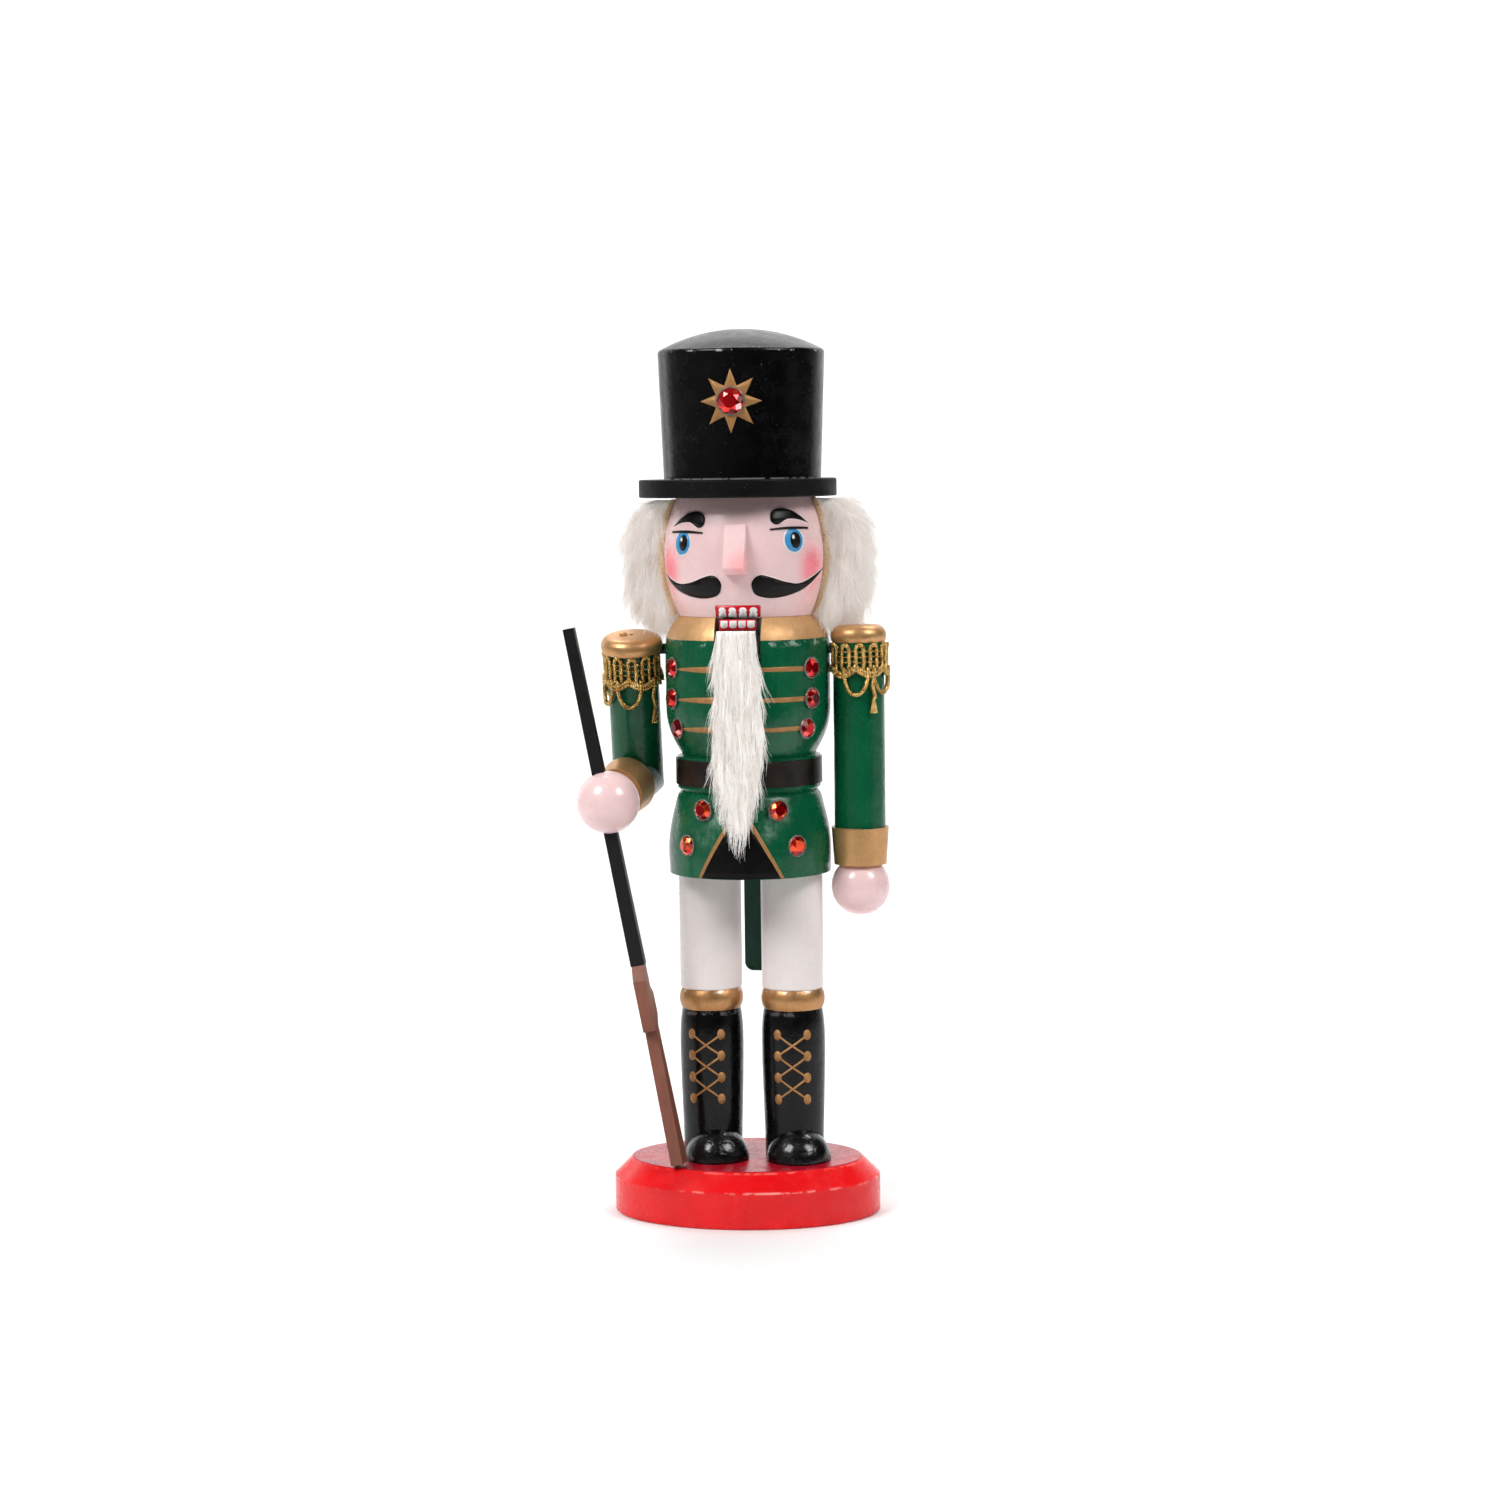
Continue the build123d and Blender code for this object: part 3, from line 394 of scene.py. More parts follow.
def fur_backing(name):
    """Woven tan tape that the fur is knotted into."""
    r = Recipe(name)
    across = r.tree.nodes.new("ShaderNodeTexWave")
    across.inputs["Scale"].default_value = 900
    across.inputs["Distortion"].default_value = 1.5
    across.bands_direction = "Z"
    r.put(across.inputs["Vector"], r.coords)
    weave = across.outputs["Fac"]
    patch = r.noise(300, 3)
    colour = r.mix(weave, srgb(240, 206, 162), srgb(204, 160, 114))
    r.shader_input("Base Color", r.mix(r.range(patch, 0.45, 0.75), colour, srgb(214, 190, 160)))
    r.shader_input("Roughness", r.range(patch, 0.3, 0.7, 0.75, 0.9))
    r.bump((weave, 0.12 * MM))
    return r.mat


def gold_cord(name):
    """Metallised yarn: foil wrapped round each ply."""
    r = Recipe(name)
    along = r.attribute("along")
    wrap = r.math("SINE", r.math("MULTIPLY", along, 2 * pi / (0.24 * MM)))
    patch = r.noise(700, 3, 0.6)
    colour = r.mix(r.range(patch, 0.3, 0.7), srgb(255, 224, 142), srgb(168, 112, 46))
    colour = r.mix(r.range(wrap, -1.0, -0.4, 0.7, 0.0), colour, srgb(50, 30, 10))
    r.shader_input("Base Color", colour)
    r.shader_input("Metallic", 0.92)
    r.shader_input("Roughness", r.range(patch, 0.3, 0.7, 0.16, 0.32))
    r.bump((wrap, 0.03 * MM))
    return r.mat


def flat_paint(name, colour, deep, rough=0.35, metal=0.0, coat=0.03, gleam=0.3):
    """Thin painted or printed mark, with the brush's unevenness."""
    r = Recipe(name)
    cloud = r.noise(420, 4, 0.6)
    flake = r.noise(4200, 2)
    shade = r.mix(r.range(cloud, 0.35, 0.7, 0, 0.8), colour, deep)
    shade = r.mix(r.range(flake, 0.5, 0.8, 0, 0.35), shade, tuple(min(1, 1.25 * c) for c in colour[:3]) + (1,))
    r.shader_input("Base Color", shade)
    r.shader_input("Metallic", metal)
    r.shader_input("Roughness", r.range(cloud, 0.3, 0.7, rough - 0.06, rough + 0.1))
    r.shader_input("Specular IOR Level", gleam)
    r.shader_input("Coat Weight", coat)
    r.shader_input("Coat Roughness", 0.15)
    r.bump((cloud, 0.02 * MM), (flake, 0.006 * MM))
    return r.mat


# ------------------------------------------------------------------ materials of the carried-over pieces

FACE_R = 23.2 * MM
BLUSH_ANGLE = 60.0
BLUSH_Z = 183.6 * MM
BLUSH_R = 7.4 * MM


def around(angle, radius, z, axis_x=0.0):
    """Point at an angle from the front, positive towards the figure's left."""
    a = radians(angle)
    return Vector((axis_x + radius * sin(a), -radius * cos(a), z))


def blushed(r, colour):
    """Airbrushed cheeks and a warmer shadow under the moustache."""
    for side in (-1, 1):
        spot = around(side * BLUSH_ANGLE, FACE_R, BLUSH_Z)
        far = r.vector("DISTANCE", r.vector("MULTIPLY", r.coords, (1, 1, 0.8)), (spot.x, spot.y, 0.8 * spot.z))
        colour = r.mix(r.range(far, 1.2 * MM, BLUSH_R, 0.85, 0.0, smooth=True), colour, srgb(250, 116, 132))
        low = around(side * (BLUSH_ANGLE + 2), FACE_R, BLUSH_Z - 9 * MM)
        far = r.vector("DISTANCE", r.coords, tuple(low))
        colour = r.mix(r.range(far, 0.0, 8 * MM, 0.3, 0.0, smooth=True), colour, srgb(250, 150, 150))
    return colour


def nose_pink_shade(r, colour):
    """Pink painted shade on the lower side of the nose, on the figure's left."""
    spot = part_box("nose")
    far = r.vector("DISTANCE", r.coords, (spot[1].x, spot[0].y, spot[0].z + 2.5 * MM))
    return r.mix(r.range(far, 0.5 * MM, 7.5 * MM, 0.55, 0.0, smooth=True), colour, srgb(255, 140, 146))


# Clouds of dried glue on the skirt: angle, height and radius in mm, strength.
HAZES = ((29.0, 116.6, 6.0, 0.6), (-17.0, 115.5, 6.5, 0.45), (21.0, 111.0, 4.5, 0.35), (-25.0, 109.0, 5.0, 0.25))


def scuffed(r, colour):
    """Pale rubbed patches in the green just below the collar, and hazy glue on the skirt."""
    z = r.axis(2)
    near = r.range(r.math("ABSOLUTE", r.math("SUBTRACT", z, TORSO_TOP_Z - 7.1 * MM)), 0.1 * MM, 1.3 * MM, 1.0, 0.0)
    patch = r.range(r.noise(260, 4, 0.7), 0.55, 0.63)
    colour = r.mix(r.math("MULTIPLY", r.math("MULTIPLY", near, patch), 0.75), colour, srgb(168, 192, 178))
    for angle, height, radius, share in HAZES:
        spot = around(angle, FACE_R, height * MM)
        far = r.vector("DISTANCE", r.coords, tuple(spot))
        cloudy = r.range(r.noise(420, 4, 0.7), 0.35, 0.65)
        cloudy = r.math("MULTIPLY", cloudy, r.range(far, 0.3 * radius * MM, radius * MM, share, 0.0, smooth=True))
        colour = r.mix(cloudy, colour, srgb(150, 178, 162))
    return colour


def edge_wear_and_highlight(r, colour, level, half, tone, share=0.8, scale=330, start=0.5):
    """Patches of another colour along a turned edge at a level: paint rubbed through in some places, a painted
    highlight in others.
    """
    near = r.range(r.math("ABSOLUTE", r.math("SUBTRACT", r.axis(2), level)), 0.3 * half, half, 1.0, 0.0)
    patch = r.range(r.noise(scale, 4, 0.7), start, start + 0.07)
    return r.mix(r.math("MULTIPLY", r.math("MULTIPLY", near, patch), share), colour, tone)


def dusty(r, colour):
    """Fine pale specks of dust caught in the black."""
    speck = r.range(r.noise(2300, 1), 0.7, 0.76)
    patch = r.range(r.noise(110, 3), 0.4, 0.65)
    return r.mix(r.math("MULTIPLY", r.math("MULTIPLY", speck, patch), 0.5), colour, srgb(120, 120, 118))


def crown_dust_chips_and_glints(r, colour):
    """Dust, bright marks along the crown's top edge that are partly paint chips and partly a painted highlight, and a
    pale line where it meets the brim.
    """
    colour = edge_wear_and_highlight(r, dusty(r, colour), CROWN_EDGE_LEVEL, 0.4 * MM, srgb(196, 196, 194), share=0.7, start=0.575)
    return edge_wear_and_highlight(r, colour, CROWN_LOW.z, 0.5 * MM, srgb(150, 150, 148), start=0.42)


def base_top_shade_and_edge_lines(r, colour):
    """Painted shade on the flat top, a duller, colder red; a patchy painted highlight along the bevel's lower edge, and
    a patchy lighter red line along its upper edge.
    """
    top = r.range(r.axis(2), BASE_TOP_Z - 0.3 * MM, BASE_TOP_Z - 0.1 * MM)
    # Painted shade: the top face darker than the sides.
    colour = r.mix(top, colour, r.mix(r.range(r.noise(160, 4, 0.6), 0.35, 0.65), srgb(174, 16, 40), srgb(156, 10, 30)))
    # Painted highlight along the bevel's lower edge.
    colour = edge_wear_and_highlight(r, colour, BEVEL_LEVEL, 0.4 * MM, srgb(255, 176, 168), share=0.7, scale=90, start=0.5)
    return edge_wear_and_highlight(r, colour, BASE_TOP_Z - 0.55 * MM, 0.35 * MM, srgb(255, 120, 110), share=0.6, scale=120, start=0.48)


def worn_leg(r, colour):
    """White chips where the gold bead meets the trousers, dust at the boot's top."""
    colour = edge_wear_and_highlight(r, colour, BEAD_LEVEL - 0.5 * MM, 0.5 * MM, srgb(236, 228, 222), start=0.55)
    return edge_wear_and_highlight(r, colour, BOOT_LEVEL - 0.9 * MM, 0.8 * MM, srgb(110, 108, 106), share=0.5, start=0.5)


COLLAR_LEVEL = TORSO_TOP_Z - 6.3 * MM
CROWN_EDGE_LEVEL = 243.5 * MM
BEVEL_LEVEL = 10.3 * MM
BOOT_LEVEL = 58.3 * MM
BEAD_LEVEL = 64.1 * MM
CAP_LEVEL = 162.2 * MM
LEFT_CUFF_LEVEL = 110.0 * MM

elbow = Vector((-32.6, 5.0, 124.0)) * MM
lean = radians(12.0)
upper_dir = Vector((0, -sin(lean), cos(lean)))
outward, down = radians(11.0), radians(12.0)
fore_dir = Vector((-sin(outward) * cos(down), -cos(outward) * cos(down), -sin(down)))
RIGHT_CAP_START = (41.6 - 4.6) * MM
CUFF_START = 8.8 * MM
butt = Vector((-18.9, -17.0, 15.9)) * MM
muzzle = Vector((-47.4, -20.1, 167.4)) * MM
rifle_dir = (muzzle - butt).normalized()
STOCK_LENGTH = 58.0 * MM


def along_line(start, direction):
    """Height of a point along a line, for bands on a tilted piece."""
    def height(r):
        return r.vector("DOT_PRODUCT", r.vector("SUBTRACT", r.coords, tuple(start)), tuple(direction))
    return height


def dress(node, material):
    mesh = nodes[node].data
    mesh.materials.clear()
    mesh.materials.append(material)


red_base = enamel("red_base_enamel", (RED,), lump=0.005, tint=base_top_shade_and_edge_lines)
trouser_and_boot = enamel("leg_enamel", (BLACK, BOOT_LEVEL, GOLD, BEAD_LEVEL, WHITE), lump=0.018, tint=worn_leg,
                          wobble=0.3, gleam=0.22)
boot_black = enamel("toe_enamel", (BLACK,), lump=0.07, coat=0.45, tint=dusty)
coat_paint = enamel("coat_enamel", (GREEN, COLLAR_LEVEL, COLLAR_GOLD), tint=scuffed, grain=0.12, lump=0.02)
skin_paint = enamel("face_enamel", (SKIN,), tint=blushed, grain=0.02, lump=0.006, coat=0.12)
nose_paint = enamel("nose_enamel", (SKIN,), tint=nose_pink_shade, grain=0.02, lump=0.008)
hand_paint = enamel("hand_enamel", (SKIN,), grain=0.02, lump=0.005, coat=0.5)
hat_paint = enamel("hat_enamel", (BLACK,), lump=0.012, tint=crown_dust_chips_and_glints, gleam=0.22)
brim_paint = enamel("brim_enamel", (MATT_BLACK,), lump=0.02, tint=dusty, coat=0.0, gleam=0.14)
left_sleeve = enamel("left_sleeve_enamel", (ARM_GOLD, LEFT_CUFF_LEVEL, GREEN, CAP_LEVEL, ARM_GOLD))
right_sleeve = enamel("right_sleeve_enamel", (GREEN, RIGHT_CAP_START, ARM_GOLD), height=along_line(elbow, upper_dir))
forearm_paint = enamel("forearm_enamel", (GREEN, CUFF_START, ARM_GOLD), height=along_line(elbow, fore_dir))
rifle_paint = enamel(
    "rifle_paint", (BROWN, STOCK_LENGTH, MATT_BLACK), height=along_line(butt, rifle_dir), coat=0.0, grain=0.12, lump=0.02
)
lever_shaded_paint = enamel("lever_painted_shade_enamel", (LEVER_SHADE_GREEN,), grain=0.12, lump=0.02)
plain_wood = raw_wood("bare_dowel_wood")
screw_steel = steel("screw_steel")

for name, material in {
    "base": red_base,
    "left_leg": trouser_and_boot,
    "right_leg": trouser_and_boot,
    "left_shoe": boot_black,
    "right_shoe": boot_black,
    "torso": coat_paint,
    "belt": strap("belt_strap"),
    "head": skin_paint,
    "nose": nose_paint,
    "hat_brim": brim_paint,
    "hat_crown": hat_paint,
    "left_arm": left_sleeve,
    "left_hand": hand_paint,
    "right_upper_arm": right_sleeve,
    "right_forearm": forearm_paint,
    "right_hand": hand_paint,
    "rifle": rifle_paint,
    "jaw_lever": lever_shaded_paint,
    "jaw_pin": screw_steel,
    "base_screws": screw_steel,
}.items():
    dress(name, material)
# The shoulder dowels take the lever's darker green, which is painted shade as well.
for name in nodes:
    if "shoulder_dowel" in name:
        dress(name, lever_shaded_paint)
    elif "dowel" in name:
        dress(name, plain_wood)


# ------------------------------------------------------------------ mesh helpers

def finish_piece(name, mesh, material, body, smooth=True):
    """Link a finished mesh at the origin, give it its material and let it ride on its body."""
    obj = bpy.data.objects.new(name, mesh)
    bpy.context.scene.collection.objects.link(obj)
    mesh.materials.clear()
    mesh.materials.append(material)
    mesh.polygons.foreach_set("use_smooth", [smooth] * len(mesh.polygons))
    mesh.update()
    if body:
        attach(obj, body)
    return obj


def mesh_from(bm, name):
    mesh = bpy.data.meshes.new(name)
    bm.to_mesh(mesh)
    bm.free()
    return mesh


def smooth_loop(points, corners=(), steps=8):
    """Closed smooth curve through the points; the listed ones stay sharp."""
    count = len(points)
    pts = [Vector(p).to_2d() if len(p) > 2 else Vector(p) for p in points]
    out = []
    for i in range(count):
        p1, p2 = pts[i], pts[(i + 1) % count]
        p0 = p1 - (p2 - p1) * 0.3 if i in corners else pts[i - 1]
        p3 = p2 + (p2 - p1) * 0.3 if (i + 1) % count in corners else pts[(i + 2) % count]
        for k in range(steps):
            t = k / steps
            out.append(
                0.5 * (2 * p1 + (p2 - p0) * t + (2 * p0 - 5 * p1 + 4 * p2 - p3) * t**2
                       + (3 * p1 - p0 - 3 * p2 + p3) * t**3)
            )
    return out


def grown(loop, by):
    """The loop moved outwards by a small distance."""
    area = sum(a.x * b.y - b.x * a.y for a, b in zip(loop, loop[1:] + loop[:1]))
    turn = 1 if area > 0 else -1
    out = []
    for i, p in enumerate(loop):
        d = (loop[(i + 1) % len(loop)] - loop[i - 1])
        if d.length < 1e-9:
            out.append(p)
            continue
        d.normalize()
        out.append(p + Vector((d.y, -d.x)) * by * turn)
    return out


def laid_on(tree, axis_x=0.0, radius=FACE_R, outside=60 * MM):
    """Maps a flat (arc length, height) point to the turned surface: returns its point and outward normal."""
    def place(u, z):
        a = u / radius
        out = Vector((sin(a), -cos(a), 0))
        start = Vector((axis_x, 0, z)) + out * outside
        hit, normal, _, _ = tree.ray_cast(start, -out)
        if hit is None or (hit - Vector((axis_x, 0, z))).dot(out) < 0.3 * radius:
            return Vector((axis_x, 0, z)) + out * radius, out
        return hit, out
    return place


def paint_shell(bm, loop, place, thick=0.09 * MM, rise=0.0, step=0.9 * MM):
    """Add one thin closed film of paint: the flat outline, cut fine, wrapped on the surface, with a soft edge."""
    flat = bmesh.new()
    corners = [flat.verts.new((p.x, p.y, 0)) for p in loop]
    flat.faces.new(corners)
    bmesh.ops.inset_region(flat, faces=flat.faces[:], thickness=0.14 * MM, use_even_offset=True)
    us = [p.x for p in loop]
    for k in range(1, int((max(us) - min(us)) / step) + 1):
        cut = min(us) + k * step
        geom = flat.verts[:] + flat.edges[:] + flat.faces[:]
        bmesh.ops.bisect_plane(flat, geom=geom, plane_co=(cut, 0, 0), plane_no=(1, 0, 0))
    zs = [p.y for p in loop]
    for k in range(1, int((max(zs) - min(zs)) / (2 * step)) + 1):
        cut = min(zs) + k * 2 * step
        geom = flat.verts[:] + flat.edges[:] + flat.faces[:]
        bmesh.ops.bisect_plane(flat, geom=geom, plane_co=(0, cut, 0), plane_no=(0, 1, 0))
    bmesh.ops.remove_doubles(flat, verts=flat.verts, dist=0.003 * MM)
    bmesh.ops.triangulate(flat, faces=flat.faces[:])
    rim = {v for e in flat.edges if e.is_boundary for v in e.verts}
    top, bottom = {}, {}
    for v in flat.verts:
        point, normal = place(v.co.x, v.co.y)
        lift = rise + (0.25 * thick if v in rim else thick)
        top[v] = bm.verts.new(point + normal * lift)
        bottom[v] = bm.verts.new(point - normal * 0.12 * MM)
    made = []
    for f in flat.faces:
        made.append(bm.faces.new([top[v] for v in f.verts]))
        made.append(bm.faces.new([bottom[v] for v in reversed(f.verts)]))
    for e in flat.edges:
        if e.is_boundary:
            a, b = e.verts
            made.append(bm.faces.new([top[a], top[b], bottom[b], bottom[a]]))
    flat.free()
    bmesh.ops.recalc_face_normals(bm, faces=made)


def paint_piece(name, loops, place, material, body, slot, **how):
    bm = bmesh.new()
    for loop in loops:
        paint_shell(bm, loop, place, **how)
    return finish_piece(name, mesh_from(bm, name), material, body)


def arc_of(angle, radius=FACE_R):
    return radians(angle) * radius


def face_loop(points, side, corners=(), radius=FACE_R):
    """An outline given as (angle from the front, height in mm) on one side of the face."""
    return smooth_loop([(side * arc_of(a, radius), z * MM) for a, z in points], corners)


def oval(u, z, half_width, half_height, count=28):
    return [Vector((u + half_width * cos(2 * pi * k / count), z + half_height * sin(2 * pi * k / count)))
            for k in range(count)]


# ------------------------------------------------------------------ painted face

black_mark = flat_paint("black_face_paint", srgb(15, 13, 13), srgb(28, 25, 24), rough=0.34, gleam=0.16)
pale_mark = flat_paint("pale_outline_paint", srgb(250, 226, 224), srgb(244, 214, 212), rough=0.3)
blue_mark = flat_paint("blue_eye_paint", srgb(70, 158, 214), srgb(40, 122, 186), rough=0.25)
white_mark = flat_paint("white_eye_paint", srgb(246, 242, 240), srgb(226, 220, 218), rough=0.25)
grey_mark = flat_paint("tooth_shade_paint", srgb(240, 235, 236), srgb(226, 219, 222), rough=0.3)
jet_mark = flat_paint("black_skirt_paint", srgb(7, 7, 8), srgb(13, 12, 12), rough=0.4, gleam=0.1)
lip_red = flat_paint("mouth_red_paint", srgb(208, 14, 38), srgb(170, 8, 28), rough=0.28)
gold_mark = flat_paint("gold_line_paint", MATT_GOLD["colour"], MATT_GOLD["deep"], rough=0.45, metal=0.25, coat=0.0)

head_tree = node_tree("head")
on_face = laid_on(head_tree)

MOUSTACHE = ((10.8, 178.8), (12.4, 180.9), (17.5, 181.9), (25, 181.2), (37, 179.8), (51, 179.6), (71.5, 182.2),
             (58, 178.7), (43, 176.4), (27, 175.4), (14.5, 176.3))
MOUSTACHE_TIP = (6,)
BROW = ((23.6, 196.7), (25.5, 198.6), (34, 199.4), (45, 198.3), (57, 195.2), (46, 196.3), (37, 196.4), (29, 195.0),
        (25, 195.4))
BROW_TIP = (4,)
LID = ((24.5, 193.4), (40, 193.85), (57, 193.6), (57, 193.05), (40, 193.15), (24.5, 192.95))
EYE_ANGLE = 42.6
EYE_Z = 190.1

# The painter set the figure's left side a little higher than its right.
LEFT_TIP = (76.5, 183.7)
moustaches = [face_loop(MOUSTACHE, -1, MOUSTACHE_TIP),
              face_loop(MOUSTACHE[:6] + (LEFT_TIP,) + MOUSTACHE[7:], 1, MOUSTACHE_TIP)]
brows = [face_loop(BROW, -1, BROW_TIP), face_loop([(a + 1.8, z + 0.7) for a, z in BROW], 1, BROW_TIP)]
lids = [face_loop([(a, z + rise) for a, z in LID], side, (0, 2, 3, 5)) for side, rise in ((-1, 0.4), (1, 1.2))]
eyes = [(-arc_of(EYE_ANGLE), (EYE_Z + 0.7) * MM), (arc_of(EYE_ANGLE), (EYE_Z + 1.2) * MM)]

paint_piece("face_outline_paint", [grown(loop, 0.32 * MM) for loop in moustaches + brows], on_face, pale_mark,
            "root", "skin_paint", thick=0.05 * MM)
paint_piece("moustache_paint", moustaches, on_face, black_mark, "root", "hat_black", rise=0.05 * MM)
paint_piece("brow_paint", brows, on_face, black_mark, "root", "hat_black", rise=0.05 * MM)
paint_piece("eye_white_paint", [oval(u, z, 3.5 * MM, 3.65 * MM) for u, z in eyes], on_face, white_mark,
            "root", "skin_paint", thick=0.05 * MM)
paint_piece("iris_paint", [oval(u, z, 3.05 * MM, 3.25 * MM) for u, z in eyes], on_face, blue_mark,
            "root", "skin_paint", rise=0.05 * MM)
paint_piece("pupil_paint", [oval(u + 0.45 * MM, z, 1.75 * MM, 2.25 * MM) for u, z in eyes], on_face, black_mark,
            "root", "hat_black", rise=0.13 * MM)
paint_piece("eye_glint_paint", [oval(u - 0.3 * MM, z + 0.9 * MM, 0.45 * MM, 0.6 * MM, 14) for u, z in eyes], on_face,
            white_mark, "root", "skin_paint", rise=0.22 * MM)
paint_piece("lid_line_paint", lids, on_face, black_mark, "root", "hat_black", rise=0.2 * MM)

# ------------------------------------------------------------------ teeth

UPPER_HALF = arc_of(18.2)
UPPER_TALL = 3.3 * MM
TOOTH_PITCH = 3.35 * MM
LIP_ROUND = 1.2 * MM
upper_z = HEAD_LOW_Z + 0.12 * MM


def rounded_top(u, z, half, tall, corner):
    """Upright block whose two far corners are round; a negative height makes it hang."""
    up = 1 if tall > 0 else -1
    loop = [Vector((u - half, z)), Vector((u + half, z))]
    for start, centre_u in ((0, u + half - corner), (pi / 2, u - half + corner)):
        for k in range(6):
            a = start + k * pi / 10
            loop.append(Vector((centre_u + corner * cos(a), z + tall + up * corner * (sin(a) - 1))))
    return loop[::up]


def on_lip(u, z):
    """The face, kept upright over its rounded lower edge."""
    point, out = on_face(u, max(z, HEAD_LOW_Z + LIP_ROUND))
    return Vector((point.x, point.y, z)), out


tooth_us = [(k - 1.5) * TOOTH_PITCH for k in range(4)]
paint_piece("upper_gum_paint", [rounded_top(0, upper_z, UPPER_HALF, UPPER_TALL, 0.7 * MM)], on_lip, lip_red,
            "root", "skin_paint", thick=0.07 * MM)
paint_piece("upper_teeth_paint", [rounded_top(u, upper_z + 0.05 * MM, 1.3 * MM, 2.65 * MM, 1.15 * MM) for u in tooth_us],
            on_lip, white_mark, "root", "skin_paint", rise=0.07 * MM)
paint_piece("upper_teeth_shade", [rounded_top(u, upper_z + 0.1 * MM, 0.85 * MM, 2.0 * MM, 0.75 * MM) for u in tooth_us],
            on_lip, grey_mark, "root", "skin_paint", rise=0.19 * MM, thick=0.05 * MM)

jaw_low, jaw_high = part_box("jaw_lever")
JAW_HALF = jaw_high.x - 0.02 * MM
LOWER_TOP_Z = jaw_high.z - 0.02 * MM
LOWER_TALL = 3.1 * MM
jaw_tree = node_tree("jaw_lever")


def on_jaw(u, z):
    """The jaw's front, which leans slightly forward."""
    hit, _, _, _ = jaw_tree.ray_cast(Vector((u, -60 * MM, z)), Vector((0, 1, 0)))
    return (hit if hit is not None else Vector((u, jaw_low.y, z))), Vector((0, -1, 0))


def block(u, z, half, tall):
    return [Vector((u - half, z)), Vector((u + half, z)), Vector((u + half, z + tall)), Vector((u - half, z + tall))]


lower_z = LOWER_TOP_Z - LOWER_TALL
lower_us = [(k - 1.5) * 2.5 * MM for k in range(4)]
paint_piece("lower_gum_paint", [block(0, lower_z, JAW_HALF, LOWER_TALL)], on_jaw, lip_red, "jaw", "skin_paint",
            thick=0.07 * MM)
paint_piece("lower_teeth_paint", [rounded_top(u, LOWER_TOP_Z - 0.35 * MM, 1.02 * MM, -2.05 * MM, 0.8 * MM) for u in lower_us],
            on_jaw, white_mark, "jaw", "skin_paint", rise=0.07 * MM)

# ------------------------------------------------------------------ painted coat, skirt and boots

torso_tree = node_tree("torso")
COAT_R = 23.2 * MM
on_coat = laid_on(torso_tree, radius=COAT_R)
GEM_ROWS = sorted({round(box_of(g)[0].z + box_of(g)[1].z, 4) / 2 for g in islands("chest_gems")}, reverse=True)
LINE_INNER = 15.0
LINE_OUTER = 50.0


def coat_line(side, z, inner_half, outer_half, droop):
    """Hand-painted bar from the stone in towards the beard."""
    return [Vector((side * arc_of(a, COAT_R), height)) for a, height in (
        (LINE_INNER, z - inner_half),
        (0.5 * (LINE_INNER + LINE_OUTER), z - 0.5 * (inner_half + outer_half) - 0.1 * MM),
        (LINE_OUTER, z - outer_half + droop),
        (LINE_OUTER, z + outer_half + droop),
        (0.5 * (LINE_INNER + LINE_OUTER), z + 0.5 * (inner_half + outer_half) + 0.05 * MM),
        (LINE_INNER, z + inner_half),
    )]


lines = []
for row, z in enumerate(GEM_ROWS):
    lines.append(coat_line(-1, z, 1.0 * MM, 0.3 * MM, -0.2 * MM))
    lines.append(coat_line(1, z, 0.55 * MM, 0.68 * MM, 0.15 * MM * (row - 1)))
paint_piece("coat_line_paint", lines, on_coat, gold_mark, "root", "lace_gold", thick=0.15 * MM, step=0.6 * MM)

V_HALF = 32.0
V_LOW_Z = TORSO_LOW_Z + 0.15 * MM
V_TOP_Z = 119.2 * MM
V_EDGE = 1.15 * MM
v_half = arc_of(V_HALF, COAT_R)
black_v = [Vector((-v_half + V_EDGE, V_LOW_Z)), Vector((v_half - V_EDGE, V_LOW_Z)), Vector((0.3 * MM, V_TOP_Z - 2.4 * MM)),
           Vector((-0.3 * MM, V_TOP_Z - 2.4 * MM))]
gold_v = [Vector((-v_half, V_LOW_Z)), Vector((v_half, V_LOW_Z)), Vector((0.4 * MM, V_TOP_Z)), Vector((-0.4 * MM, V_TOP_Z))]
paint_piece("skirt_gold_edge_paint", [gold_v], on_coat, gold_mark, "root", "lace_gold", thick=0.06 * MM)
paint_piece("skirt_black_paint", [black_v], on_coat, jet_mark, "root", "hat_black", rise=0.06 * MM)

LACE_ROWS = (51.6, 45.5, 39.3, 33.1)
BOOT_R = 9.0 * MM
LACE_HALF = 28.0
EYELET = (1.15 * MM, 1.5 * MM)


def strip(a, b, width):
    """Straight painted stroke between two flat points."""
    d = (b - a).normalized() * (width / 2)
    side = Vector((-d.y, d.x))
    return [a - side, b - side, b + side, a + side]


